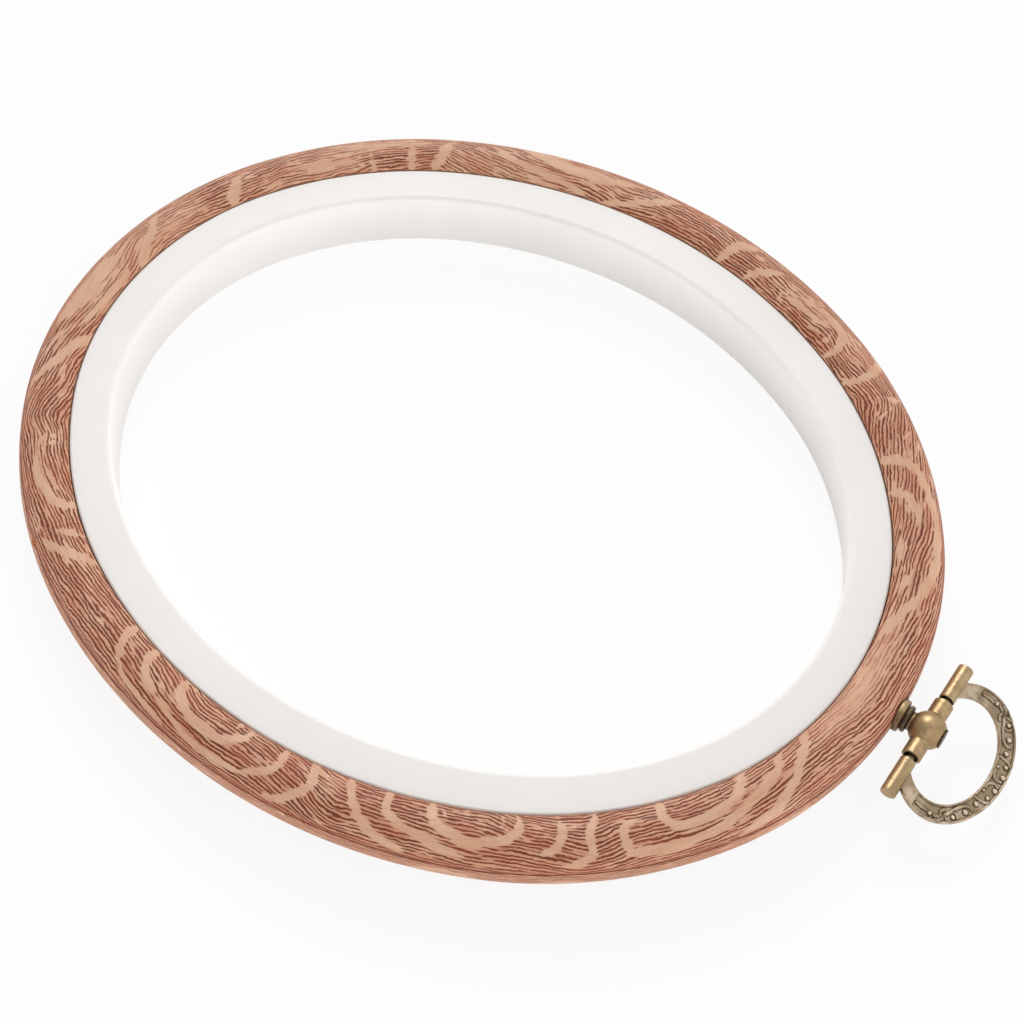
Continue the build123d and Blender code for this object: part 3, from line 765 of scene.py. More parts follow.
# Parts of the print that are calm (above 0) or dark and red (below 0), as places above, half length,
# half height and how strong
print_tones = [
    (3, 2.3, 7, 2.2, 0.75), (367, 2.3, 6.5, 2.2, 0.75), (294.3, 2.5, 2, 2, 1.0), (66.5, 4.4, 4.5, 1.2, 0.6),
    (56, 5.6, 5, 1, 0.5), (107, 4, 4, 1.4, 0.5), (142, 5, 8, 1.1, 0.7), (150, 2.6, 4, 2, 0.4),
    (178, 3, 8, 3, 0.5), (192, 4, 8, 3, 0.6), (122, 2.5, 5, 2, 0.2), (65, 1.3, 4.5, 0.9, -0.8),
    (137.8, 2, 5, 2, -0.8), (79, 1.8, 3, 1.4, -0.5), (169, 3, 2, 2.4, -0.5), (212, 3, 5, 3, -0.4),
    # The last two entries are long: they make the print darker and redder along the near side of the oval and
    # calmer along the far side
    (43, 3.5, 5, 3, -0.4), (298, 4.5, 42, 6, -0.5), (140, 2.5, 36, 5, 0.25),
]


def settle(weight, slopes, steps, hold, held):
    """The smooth map whose slopes come nearest to those wanted, on a grid over the print.

    The grid closes round the seam. Weight says how much each place counts, and hold how strongly each place
    is kept at its held value.
    """
    round_weight = (weight + np.roll(weight, -1, axis=0)) / 2 / steps[0] ** 2
    across_weight = (weight[:, 1:] + weight[:, :-1]) / 2 / steps[1] ** 2

    def gathered(round_flow, across_flow):
        total = np.roll(round_flow, 1, axis=0) - round_flow
        total[:, 1:] += across_flow
        total[:, :-1] -= across_flow
        return total

    def applied(values):
        round_flow = round_weight * (np.roll(values, -1, axis=0) - values)
        return gathered(round_flow, across_weight * np.diff(values, axis=1)) + hold * values

    # Conjugate gradients, scaled by how strongly each place is tied to the others
    ties = round_weight + np.roll(round_weight, 1, axis=0) + hold
    ties[:, 1:] += across_weight
    ties[:, :-1] += across_weight
    round_flow = round_weight * ((slopes[0] + np.roll(slopes[0], -1, axis=0)) / 2) * steps[0]
    across_flow = across_weight * ((slopes[1][:, 1:] + slopes[1][:, :-1]) / 2) * steps[1]
    wanted = gathered(round_flow, across_flow) + hold * held
    values = np.zeros_like(weight)
    left = wanted.copy()
    scaled = left / ties
    heading = scaled.copy()
    energy = (left * scaled).sum()
    goal = 1e-8 * energy
    for _ in range(1500):
        ahead = applied(heading)
        stride = energy / (heading * ahead).sum()
        values += stride * heading
        left -= stride * ahead
        scaled = left / ties
        fresh = (left * scaled).sum()
        if fresh < goal:
            break
        heading = scaled + fresh / energy * heading
        energy = fresh
    return values


def follow(angles, weight, steps, jump_unit):
    """The distances along the streaks and across them, as two smooth maps over the print.

    The step where the band closes on itself is a whole number of units, so that the streaks' rows meet there.
    """
    rows = len(angles)
    length = rows * steps[0]
    still = np.full_like(weight, 1e-7)
    maps = []
    for round_slope, across_slope, unit in (
        (np.cos(angles), np.sin(angles), 1e-6),
        (-np.sin(angles), np.cos(angles), jump_unit),
    ):
        drift = round(round_slope.mean() * length / unit) * unit / length
        slopes = (round_slope - drift, across_slope)
        flat = settle(weight, slopes, steps, still, np.zeros_like(weight))
        # The last row repeats the first one, a whole turn later
        flat = np.concatenate([flat, flat[:1]]) + drift * steps[0] * np.arange(rows + 1)[:, None]
        maps.append(flat)
    return maps


def wrapped(distance, length):
    """A distance round the seam, taken the short way."""
    return (distance + length / 2) % length - length / 2


def flank_lanes(length):
    """Pale lanes of the flank below the parting line: arches that open towards the underside."""
    found = []
    count = 17
    foot = 23.0
    for k in range(count):
        middle = length * k / count + 4.0 * math.sin(2.4 * k)
        half = 6.5 + 2.0 * math.sin(1.7 * k + 1)
        top = 11.8 + 1.2 * math.sin(3.1 * k)
        for size, width in ((1.0, 1.5), (0.5, 1.2)):
            reach = half * size
            low = top + (1 - size) * 3.5
            found.append((width, [
                (middle - reach, foot), (middle - 0.8 * reach, low + 3.6), (middle, low),
                (middle + 0.9 * reach, low + 4.2), (middle + 1.1 * reach, foot)]))
    return found


def lane_gaps(travel, across, length):
    """How far each place of the print is from the nearest pale lane's edge, below zero inside a lane."""
    far = 3.0
    gaps = np.full((len(travel), across.shape[1]), far)
    for width, points in lanes + flank_lanes(length):
        path = smooth_path(points)
        middle = path[:, 0].mean()
        reach = np.abs(path[:, 0] - middle).max() + width + far
        rows = np.nonzero(np.abs(wrapped(travel - middle, length)) < reach)[0]
        near_s = wrapped(travel[rows] - middle, length)[:, None, None] + middle - path[:, 0]
        near_t = across[rows][:, :, None] - path[:, 1]
        along = np.append(0, np.cumsum(np.linalg.norm(np.diff(path, axis=0), axis=1)))
        from_end = np.minimum(along, along[-1] - along)
        half = width / 2 * (0.25 + 0.75 * smooth_step(from_end, 0, 2.4))
        gap = (np.sqrt(near_s**2 + near_t**2) - half).min(axis=2)
        gaps[rows] = np.minimum(gaps[rows], gap)
    return gaps


def print_tone(travel, across, length):
    """How calm (above 0) or dark and red (below 0) the print is at each place."""
    tone = np.zeros_like(across)
    for place, row, half_length, half_height, share in print_tones:
        from_place = wrapped(travel - place, length)[:, None] / half_length
        from_row = (across - row) / half_height
        tone += share * np.exp(-(from_place**2 + from_row**2) ** 1.5)
    return np.clip(tone, -1, 1)


def streak_angles(travel, across, length, weight):
    """The streaks' angle over the print, in radians, held near the places where it was read."""
    reach = 0.85
    runs = [(place, row, angle, 1.4) for place, row, angle in streak_runs]
    flank_count = 62
    for row in (12.0, 15.0, 19.0, 22.5):
        for k in range(flank_count):
            place = length * k / flank_count
            angle = 9 * math.sin(0.13 * place + row) + 14 * math.sin(0.41 * place + 2 * row)
            runs.append((place, row, angle, 0.3))
    hold = np.full(weight.shape, 1e-5)
    held = np.zeros_like(hold)
    for place, row, angle, strength in runs:
        from_place = wrapped(travel - place, length)[:, None]
        apart = (from_place**2 + (across[None, :] - row) ** 2) / (2 * reach**2)
        share = strength * np.exp(-apart)
        hold += share
        held += share * math.radians(angle)
    steps = (travel[1] - travel[0], across[1] - across[0])
    flat = np.zeros_like(hold)
    return settle(weight, (flat, flat), steps, hold, held / hold)


# Outer ring


parting_places = [0, 195, 236, 268, 290, 310, 350, 373]
parting_rows = [9.2, 8.2, 8.2, 8.7, 9.2, 9.6, 9.6, 9.2]
parting_middle = 9.0
parting_depth = 0.05
parting_half_width = 0.1
gate_place = 236.3
gate_row = 8.4
gate_radius = 0.5
gate_height = 0.32
streak_pitch = 0.53
streak_grid = 0.4


def band_section():
    """The outer ring's section, and how far each of its points is along it.

    A point is its distance outside the seam and its height. They run from the seam wall's top over the crown
    to the underside.
    """
    crown_x = band_width / 2
    crown_radius = band_width - crown_x
    widest = crown_height - crown_radius
    step = crown_inner_radius - seam_corner_radius
    lean = math.degrees(math.asin((crown_x - seam_corner_radius) / step))
    corner_height = crown_height - crown_inner_radius + step * math.cos(math.radians(lean))
    fall = math.degrees(math.asin((widest - lip_height - heel_radius) / (flank_radius - heel_radius)))
    flank_x = band_width - flank_radius
    heel_x = flank_x + (flank_radius - heel_radius) * math.cos(math.radians(fall))
    heel_height = lip_height + heel_radius
    fine = 0.02
    outline = np.concatenate([
        arc_points((seam_corner_radius, corner_height), seam_corner_radius, 180, 90 + lean, fine),
        arc_points((crown_x, crown_height - crown_inner_radius), crown_inner_radius, 90 + lean, 90, fine)[1:],
        arc_points((crown_x, widest), crown_radius, 90, 0, fine)[1:],
        arc_points((flank_x, widest), flank_radius, 0, -fall, fine)[1:],
        arc_points((heel_x, heel_height), heel_radius, -fall, -90, fine)[1:],
        [(0.0, lip_height)],
    ])
    along = np.append(0, np.cumsum(np.linalg.norm(np.diff(outline, axis=0), axis=1)))
    return outline, along


def band_places(travel, length, underside_end):
    """The mesh's places across the band at each station, closer together at the seam and the parting line.

    The parting line's own place comes second.
    """
    columns = np.concatenate([
        np.linspace(0, 0.9, 7),
        np.arange(1.2, parting_middle - 0.5, 0.32),
        parting_middle + np.linspace(-0.4, 0.4, 13),
        np.arange(parting_middle + 0.7, underside_end - 3.2, 0.36),
        np.linspace(underside_end - 2.8, underside_end, 6),
    ])
    line = np.interp(travel % length, parting_places, parting_rows)[:, None]
    lower = (columns - parting_middle) * (underside_end - line) / (underside_end - parting_middle)
    upper = columns * line / parting_middle
    return np.where(columns > parting_middle, line + lower, upper), line


def outer_ring_mesh():
    travel, places, outwards, length = oval_stations(0.36)
    outline, along = band_section()
    underside_end = along[-1]
    across, line = band_places(travel, length, underside_end)

    def on_section(where):
        return np.interp(where, along, outline[:, 0]), np.interp(where, along, outline[:, 1])

    out, height = on_section(across)
    out_ahead, height_ahead = on_section(across + 0.02)
    out_back, height_back = on_section(across - 0.02)
    slope_out = out_ahead - out_back
    slope_up = height_ahead - height_back
    size = np.maximum(np.hypot(slope_out, slope_up), 1e-9)
    lift = -parting_depth * np.exp(-(((across - line) / parting_half_width) ** 2))
    from_gate = np.hypot(travel[:, None] - gate_place, across - gate_row) / gate_radius
    lift += gate_height * np.clip(1 - from_gate**2, 0, None) ** 0.8
    out = out + lift * (-slope_up / size)
    height = height + lift * (slope_out / size)
    # The hidden wall at the seam, from the underside up to the first column
    rows = len(places)
    wall = np.linspace(0, 1, 6)[1:-1] * (outline[0, 1] - lip_height)
    out = np.hstack([out, np.zeros((rows + 1, len(wall)))])
    height = np.hstack([height, np.tile(lip_height + wall, (rows + 1, 1))])
    corners, numbers = grid_faces(rows, out.shape[1])
    mesh = new_mesh("outer_ring", ring_points(places, outwards, out[:rows], height[:rows]), numbers)
    across = np.hstack([across, np.tile(underside_end + wall, (rows + 1, 1))])
    across = np.hstack([across, across[:, -1:] + 2.0])
    shown = (corners[..., 0], corners[..., 1])
    along_grain, across_grain = grain_maps(travel, across, length, underside_end)
    add_uv(mesh, "grain", along_grain[shown], across_grain[shown])
    add_uv(mesh, "band", np.broadcast_to(travel[:, None], across.shape)[shown], across[shown])
    add_uv(mesh, "marks", lane_gaps(travel, across, length)[shown], (across - line)[shown])
    tone = print_tone(travel, across, length)
    add_uv(mesh, "tone", tone[shown], np.zeros_like(tone)[shown])
    return mesh


def grain_maps(travel, across, length, underside_end):
    """The distances along and across the streaks at the mesh's places, worked out on a regular grid."""
    rows = round(length / streak_grid)
    grid_travel = np.arange(rows + 1) * length / rows
    grid_across = np.arange(-1, underside_end + 3, streak_grid)
    # Streaks may break off and turn inside the pale lanes
    gaps = lane_gaps(grid_travel[:-1], np.tile(grid_across, (rows, 1)), length)
    free = smooth_step(gaps, -0.5, 0.1)
    angles = streak_angles(grid_travel[:-1], grid_across, length, 0.03 + 0.97 * free)
    maps = follow(angles, 0.05 + 0.95 * free, (grid_travel[1], streak_grid), streak_pitch)
    return [sampled(values, travel, across, grid_travel, grid_across) for values in maps]


def sampled(values, travel, across, grid_travel, grid_across):
    """Values on the regular grid read at other places, straight between its points and on round the seam."""
    turns = np.floor(travel / grid_travel[-1])
    jump = values[-1, 0] - values[0, 0]
    row = np.clip((travel - turns * grid_travel[-1]) / grid_travel[1], 0, len(grid_travel) - 1.001)
    column = (across - grid_across[0]) / (grid_across[1] - grid_across[0])
    column = np.clip(column, 0, len(grid_across) - 1.001)
    r = np.broadcast_to(row[:, None], column.shape)
    r0, c0 = r.astype(int), column.astype(int)
    fr, fc = r - r0, column - c0
    top = values[r0, c0] * (1 - fr) + values[r0 + 1, c0] * fr
    low = values[r0, c0 + 1] * (1 - fr) + values[r0 + 1, c0 + 1] * fr
    return top * (1 - fc) + low * fc + (turns * jump)[:, None]


def streak_rows(g, along, bent, gap, calm, strong, pitch, seed, low, high, widest):
    """A set of streaks in rows that far apart: how much each place is of a streak's core and of its haze.

    A streak shows where its noise is over low, and is widest where the noise reaches high.
    """
    rows = g.math("DIVIDE", bent, pitch)
    row = g.math("FLOOR", rows)
    inside = g.minus(g.minus(rows, row), 0.5)
    chance = g.add("ShaderNodeTexWhiteNoise", {1: g.plus(row, seed)}, noise_dimensions="1D").outputs[0]

    def row_noise(spread, row_step, offset, detail):
        """Noise that runs along the row, its own in each row."""
        place = g.plus(g.times(along, 0.3), g.times(chance, spread))
        return g.noise(g.vector(place, g.times(row, row_step), offset), 1.0, detail)

    shift = g.minus(row_noise(57.0, 5.1, seed + 9.0, 1.0), 0.5)
    off = g.unsigned(g.minus(inside, g.times(shift, 0.9)))
    dash = g.minus(row_noise(83.0, 3.7, seed, 2.0), g.times(calm, 0.12))
    width = g.times(g.fade(dash, low, high, 0.0, widest), g.plus(g.times(chance, 0.45), 0.7))
    width = g.times(width, g.plus(g.times(strong, 0.25), 1.0))
    ends = g.fade(g.plus(gap, g.times(g.minus(chance, 0.5), 0.5)), -0.1, 0.12)
    shown = g.times(g.fade(width, 0.02, 0.09), ends)
    core = g.times(g.fade(g.minus(off, width), 0.06, -0.06), shown)
    halo = g.times(g.fade(g.minus(off, width), 0.3, 0.0), shown)
    return core, halo


def mould_marks(g, colour, from_line, round_place, row_place):
    """The colour with the joint where the band was closed, the parting line and its gate drawn over it."""
    from_joint = g.minus(round_place, gate_place)
    joint = g.times(g.fade(g.unsigned(from_joint), 0.1, 0.03), g.fade(from_line, 0.1, -0.1))
    colour = g.mix(g.times(joint, 0.4), colour, parting_red)
    above = g.times(g.fade(from_line, -1.3, -0.1), g.fade(from_line, 0.15, 0.0))
    colour = g.mix(g.times(above, 0.5), colour, wood_red)
    below = g.fade(from_line, 0.1, 0.5)
    colour = g.mix(g.times(below, 0.3), colour, wood_pink)
    line = g.fade(g.unsigned(from_line), 0.26, 0.05)
    colour = g.mix(g.times(line, 0.88), colour, parting_red)
    aside = g.times(from_joint, 1.2)
    beside = g.math("POWER", g.minus(row_place, gate_row), 2.0)
    apart = g.math("SQRT", g.plus(g.times(aside, aside), beside))
    return g.mix(g.times(g.fade(apart, 0.95, 0.5), 0.85), colour, gate_orange)


def wood_print():
    """Printed wood grain: pale lanes, and between them rows of fine red-brown streaks on a warm tan."""
    g = Finish("wood_print")
    along, across, _ = g.split(g.uv("grain"))
    gap, from_line, _ = g.split(g.uv("marks"))
    round_place, row_place, _ = g.split(g.uv("band"))
    tone_here, _, _ = g.split(g.uv("tone"))
    calm = g.larger(tone_here, 0.0)
    strong = g.larger(g.times(tone_here, -1.0), 0.0)

    def grain_noise(along_scale, across_scale, offset, detail=2.0):
        place = g.vector(g.times(along, along_scale), g.times(across, across_scale), offset)
        return g.noise(place, 1.0, detail)

    wander = g.minus(grain_noise(0.14, 0.35, 0.0), 0.5)
    wiggle = g.minus(grain_noise(0.5, 0.7, 3.0), 0.5)
    kink = g.minus(grain_noise(1.5, 1.6, 8.0, 1.0), 0.5)
    bends = g.plus(g.times(wander, 0.8), g.plus(g.times(wiggle, 0.55), g.times(kink, 0.24)))
    places = (along, g.plus(across, bends), gap, calm, strong)
    core, halo = streak_rows(g, *places, streak_pitch, 0.0, 0.28, 0.48, 0.23)
    thin_core, _ = streak_rows(g, *places, 0.62 * streak_pitch, 40.0, 0.44, 0.6, 0.2)
    core = g.times(core, g.minus(1.0, g.times(calm, 0.72)))
    halo = g.times(halo, g.minus(1.0, g.times(calm, 0.8)))
    # Faint fine streaks run on inside the pale lanes
    faint = g.times(g.fade(grain_noise(0.35, 3.2, 17.0), 0.52, 0.68), 0.2)
    tone = grain_noise(0.14, 0.5, 5.0, 3.0)
    patch = g.noise(g.uv("band"), 0.2, 2.0)
    red = g.plus(g.times(g.fade(patch, 0.38, 0.62), 0.3), g.times(strong, 0.3))
    base = g.mix(g.fade(tone, 0.35, 0.65), wood_tan, wood_pink)
    base = g.mix(g.times(red, g.minus(1.0, calm)), base, wood_red)
    base = g.mix(g.times(halo, 0.38), base, wood_red)
    lane = g.mix(g.fade(tone, 0.35, 0.65), lane_pale, lane_warm)
    colour = g.mix(g.fade(gap, -0.25, 0.3), lane, base)
    colour = g.mix(faint, colour, wood_red)
    colour = g.mix(g.times(thin_core, g.minus(0.5, g.times(calm, 0.32))), colour, streak_red)
    dark = g.mix(g.fade(tone, 0.3, 0.7), streak_brown, streak_red)
    colour = g.mix(g.times(core, 0.95), colour, dark)
    colour = mould_marks(g, colour, from_line, round_place, row_place)
    # The print ends on the underside, where the plain vinyl shows
    printed = g.fade(row_place, 22.9, 23.3, 1.0, 0.0)
    colour = g.mix(printed, vinyl_core, colour)
    speckle = g.noise(g.place(), 3.5, 3.0)
    colour = g.mix(g.fade(speckle, 0.3, 0.8, 0.0, 0.12), colour, wood_red, "MULTIPLY")
    pressed = g.times(core, printed)
    rough = g.plus(g.times(speckle, 0.14), g.plus(0.44, g.times(pressed, 0.1)))
    g.surface(Base_Color=colour, Roughness=rough, Specular_IOR_Level=0.28)
    g.bump(g.plus(g.times(pressed, -1.0), g.times(speckle, 0.25)), 0.035)
    return g.material


def outer_ring():
    mesh = outer_ring_mesh()
    past = 2.0
    inside = seam_half_length - past
    outside = ring_high.x + past
    for name, start, end, radius in (
        ("seat", collar_low.x, outside, collar_seat_radius),
        ("pocket", inside, screw_low.x + head_pocket_depth, head_pocket_radius),
        ("hole", inside, outside, ring_hole_radius),
    ):
        mesh = cut("outer_ring", mesh, lathe(name, rod_outline(start, end, radius), "x"))
    made = piece("outer_ring_print", mesh, "outer_hoop", wood_print())
    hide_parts("outer_ring")


# Inner ring


def white_moulding():
    g = Finish("white_moulding")
    spot = g.place()
    cloud = g.noise(spot, 0.05, 3.0)
    grain = g.noise(spot, 2.2, 3.0)
    colour = g.mix(g.fade(cloud, 0.35, 0.65, 0.0, 0.6), plastic_white, plastic_warm_white)
    g.surface(Base_Color=colour, Roughness=g.plus(0.36, g.times(grain, 0.14)), Specular_IOR_Level=0.3)
    g.bump(grain, 0.012)
    return g.material


def inner_ring():
    foot = wall_setback - face_width
    outer = -ring_clearance
    channel_top = face_height - face_thickness
    channel_outer = outer - ring_wall
    section = rounded_section([
        (foot, 0, foot_edge_radius),
        (-face_width, face_height, face_inner_edge_radius),
        (outer, face_height, face_outer_edge_radius),
        (outer, lip_height, lip_corner_radius),
        (lip_reach, lip_height, foot_edge_radius),
        (lip_reach, 0, foot_edge_radius),
        (channel_outer, 0, foot_edge_radius),
        (channel_outer, channel_top, channel_corner_radius),
        (ring_wall - face_width, channel_top, channel_corner_radius),
        (foot + ring_wall, 0, foot_edge_radius),
    ])
    _, places, outwards, _ = oval_stations(0.6)
    vertices = ring_points(places, outwards, section[:, 0], section[:, 1])
    _, numbers = grid_faces(len(places), len(section))
    mesh = weld(new_mesh("inner_ring", vertices, numbers))
    made = piece("inner_ring_moulding", mesh, "inner_hoop", white_moulding())
    made.modifiers.new("normals", "WEIGHTED_NORMAL")
    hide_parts("inner_ring")


# Hanger


def antique_brass(name, bright, middle, brown, relief=False):
    """Antiqued brass: brown patina in the recesses, painted shade near other parts and in tight creases, and
    worn bright on the high spots.

    With relief the mesh's UV map says how high each place stands and how near an ornament's foot it is.
    """
    g = Finish(name)
    spot = g.place()
    cloud = g.noise(spot, 0.45, 2.0)
    mottle = g.noise(spot, 2.2, 4.0, 0.6)
    fine = g.noise(spot, 8.0, 3.0)
    colour = g.mix(g.fade(cloud, 0.4, 0.66, 0.0, 0.5), middle, bright)
    tarnish = g.fade(mottle, 0.5, 0.75, 0.0, 0.35)
    colour = g.mix(tarnish, colour, brown)
    # Painted shade: brown is mixed in where other parts or the floor lie within 5 mm, so faces beside and
    # under neighbours come out darker
    colour = g.mix(g.fade(g.occlusion(5.0), 0.25, 0.8, 0.75, 0.0), colour, brown)
    # Creases go dark brown: patina, and painted shade in the tight gaps between parts
    crease = g.fade(g.occlusion(0.9), 0.3, 0.8, 0.85, 0.0)
    if relief:
        height, foot, _ = g.split(g.uv("relief"))
        colour = g.mix(g.fade(height, 0.15, 0.85, 0.1, 0.0), colour, brown)
        colour = g.mix(g.fade(height, 0.98, 1.25, 0.0, 0.85), colour, bright)
        crease = g.larger(crease, g.times(foot, g.fade(mottle, 0.3, 0.6, 0.35, 0.9)))
    colour = g.mix(crease, colour, crease_patina_and_shade)
    rough = g.plus(0.34, g.plus(g.times(fine, 0.12), g.times(g.larger(tarnish, crease), 0.25)))
    g.surface(Base_Color=colour, Metallic=0.75, Roughness=rough)
    g.bump(g.plus(g.times(fine, 0.3), mottle), 0.012)
    return g.material


def plated_steel():
    g = Finish("plated_steel")
    mottle = g.noise(g.place(), 3.0, 3.0)
    colour = g.mix(g.fade(mottle, 0.4, 0.65, 0.0, 0.6), plating_light, plating_dull)
    # Painted shade: the pins and screw darken where other parts close in round them
    colour = g.mix(g.fade(g.occlusion(0.8), 0.2, 0.8, 0.45, 0.0), colour, crease_patina_and_shade)
    g.surface(Base_Color=colour, Metallic=0.9, Roughness=g.plus(0.3, g.times(mottle, 0.2)))
    g.bump(mottle, 0.01)
    return g.material


def base_collar(brass):
    flange_end = collar_high.x - collar_neck_length
    flange_radius = collar_high.z - pivot.z
    profile = rounded_profile([
        (collar_low.x, collar_bore_radius), (collar_low.x, flange_radius), (flange_end, flange_radius),
        (flange_end, collar_neck_radius), (collar_high.x, collar_neck_radius),
        (collar_high.x, collar_bore_radius), (collar_low.x, collar_bore_radius)], collar_edge_radius)
    made = piece("collar", lathe("collar", profile, "x"), "outer_hoop", brass)
    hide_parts("base_collar")


def swivel_post(brass):
    """The post: sleeve in the ring, shoulder behind the ball, shank through it and the riveted end."""
    tap_end = screw_high.x + tapped_depth_past_screw
    shoulder_start = collar_high.x
    shoulder_end = shoulder_start + shoulder_thickness
    rivet_start = post_high.x - rivet_thickness
    profile = rounded_profile([
        (tap_end, 0), (tap_end, tapped_hole_radius), (post_low.x, tapped_hole_radius),
        (post_low.x, sleeve_radius), (shoulder_start, sleeve_radius), (shoulder_start, shoulder_radius),
        (shoulder_end, shoulder_radius), (shoulder_end, shank_radius), (rivet_start, shank_radius),
        (rivet_start, rivet_radius), (post_high.x, rivet_radius), (post_high.x, 0)], post_edge_radius)
    made = piece("post", lathe("post", profile, "x"), "outer_hoop", brass)
    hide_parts("swivel_post")


def ball_hub(brass):
    """Ball with two cross stubs, softened where they meet as a casting is."""
    past = 1.0
    angles = np.radians(np.linspace(0, 180, 49))
    half_circle = np.stack([ball_radius * np.cos(angles), ball_radius * np.sin(angles)], 1)
    mesh = lathe("ball", half_circle, "y")

    def shaped(name, start, end, radius, axis, operation="DIFFERENCE"):
        return cut("hub", mesh, lathe(name, rod_outline(start, end, radius), axis), operation)

    mesh = shaped("stubs", -stub_reach, stub_reach, stub_radius, "y", "UNION")
    mesh = shaped("boss", hub_low.x, pivot.x, boss_radius, "x", "UNION")
    mesh = shaped("front", hub_high.x, pivot.x + ball_radius + past, ball_radius, "x")
    mesh = evaluated("hub", mesh, ("REMESH", {"mode": "VOXEL", "voxel_size": hub_grid * MM}),
                     ("SMOOTH", {"factor": 0.6, "iterations": 6}))
    mesh = shaped("bore", hub_low.x - past, hub_high.x + past, post_bore_radius, "x")
    for side in (-1, 1):
        end = side * stub_reach
        mouth_start = side * (stub_reach - stub_mouth_depth)
        mesh = shaped("pin_hole", side * pin_bore_start, end, pin_bore_radius, "y")
        mesh = shaped("mouth", mouth_start, side * (stub_reach + past), stub_mouth_radius, "y")
    made = piece("hub", mesh, "hanger_hub", brass)
    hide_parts("ball_hub")


# Ornament of one half of the bail, in distance along the hinge and outwards from it: strokes with their
# half width, and beads with their radius. The other half mirrors it.
bail_strokes = [
    (0.17, [(10.0, 4.0), (10.06, 4.85), (10.0, 5.7)]),
    (0.16, [(10.0, 6.9), (9.7, 7.4), (9.35, 7.95)]),
    (0.14, [(9.4, 7.65), (8.85, 7.45), (8.25, 7.7)]),
    (0.17, [(9.3, 7.95), (8.5, 8.38), (7.5, 8.85), (6.6, 9.3), (5.95, 9.8), (5.62, 10.4), (5.7, 11.0)]),
    (0.17, [(10.35, 7.35), (10.0, 7.85), (9.45, 8.1)]),
    (0.13, [(9.15, 8.25), (9.3, 8.7), (9.25, 9.1)]),
    (0.15, [(7.7, 9.1), (7.75, 9.55), (8.1, 9.85)]),
    (0.17, [(3.75, 10.45), (3.7, 11.25), (3.6, 11.95), (3.3, 12.35)]),
    (0.16, [(1.6, 10.9), (1.0, 10.97), (0.5, 11.3), (0.35, 11.85), (0.5, 12.4)]),
]
bail_beads = [
    (10.08, 6.2, 0.38), (8.43, 9.28, 0.33), (6.6, 10.38, 0.42), (4.57, 11.02, 0.40),
    (2.15, 10.92, 0.24), (2.8, 11.97, 0.33), (1.22, 12.35, 0.42),
]


def bail_relief(out, side, edge):
    """How high the bail's top stands over its middle plane, and how near each place is to an ornament's foot.

    Places are given by the distance outwards from the hinge, the distance along it and that to the nearer
    edge. The height comes as millimetres and as a share of the sunk panel's depth.
    """
    panel = bail_half_thickness - bail_panel_depth
    far = 9.0
    rim = smooth_step(edge, bail_rim_width + 0.06, bail_rim_width - 0.1)
    tab = smooth_step(out, bail_panel_start + 0.06, bail_panel_start - 0.06)
    gap = np.where(edge < bail_rim_width, far, np.minimum(np.abs(edge - bail_rim_width), far))
    across = np.abs(side)
    shape = np.zeros_like(out)
    for half_width, points in bail_strokes:
        path = smooth_path(points, 0.08)
        radius = half_width + stroke_spread
        near = np.hypot(across[..., None] - path[:, 0], out[..., None] - path[:, 1]).min(axis=-1)
        shape = np.maximum(shape, np.sqrt(np.clip(1 - (near / radius) ** 2, 0, None)))
        gap = np.minimum(gap, np.abs(near - radius))
    for place, reach, bead_radius in bail_beads:
        radius = bead_radius + bead_spread
        near = np.hypot(across - place, out - reach)
        shape = np.maximum(shape, bead_rise * np.sqrt(np.clip(1 - (near / radius) ** 2, 0, None)))
        gap = np.minimum(gap, np.abs(near - radius))
    level = np.maximum(np.maximum(rim, tab), shape)
    foot = np.exp(-((gap / 0.09) ** 2)) * (1 - tab)
    return panel + bail_panel_depth * level, level, foot


def bail_faces(out, edge, height):
    """Height of the D's top and underside, rounded at the edges and run smoothly into the barrels."""
    rounded = np.clip(bail_edge_radius - edge, 0, None)
    fall = bail_edge_radius - np.sqrt(np.clip(bail_edge_radius**2 - rounded**2, 0, None))
    barrel = np.sqrt(np.clip((barrel_radius - 0.01) ** 2 - out**2, 0, None))
    inside = out < barrel_radius - 0.15
    clear = out > 2

    def joined(plain):
        blend = bail_softness * np.logaddexp(plain / bail_softness, barrel / bail_softness)
        blend = np.where(inside, np.minimum(blend, barrel), blend)
        return np.where(clear, plain, blend)

    return joined(height - fall), -joined(bail_half_thickness - fall)


def half_ellipse(curve, turns):
    """Points on one of the D's curves, which ends where the legs start."""
    centre, depth, width = curve
    angles = turns * math.acos((bail_leg_start - centre) / depth)
    return np.stack([centre + depth * np.cos(angles), width * np.sin(angles)], 1)


def bail_place(out, side, up):
    """Where a point of the bail's own plane is in the frame."""
    lean = -bail_tilt
    x = pivot.x + out * math.cos(lean) + up * math.sin(lean)
    z = pivot.z - out * math.sin(lean) + up * math.cos(lean)
    return np.stack([x, pivot.y + side, z], -1)


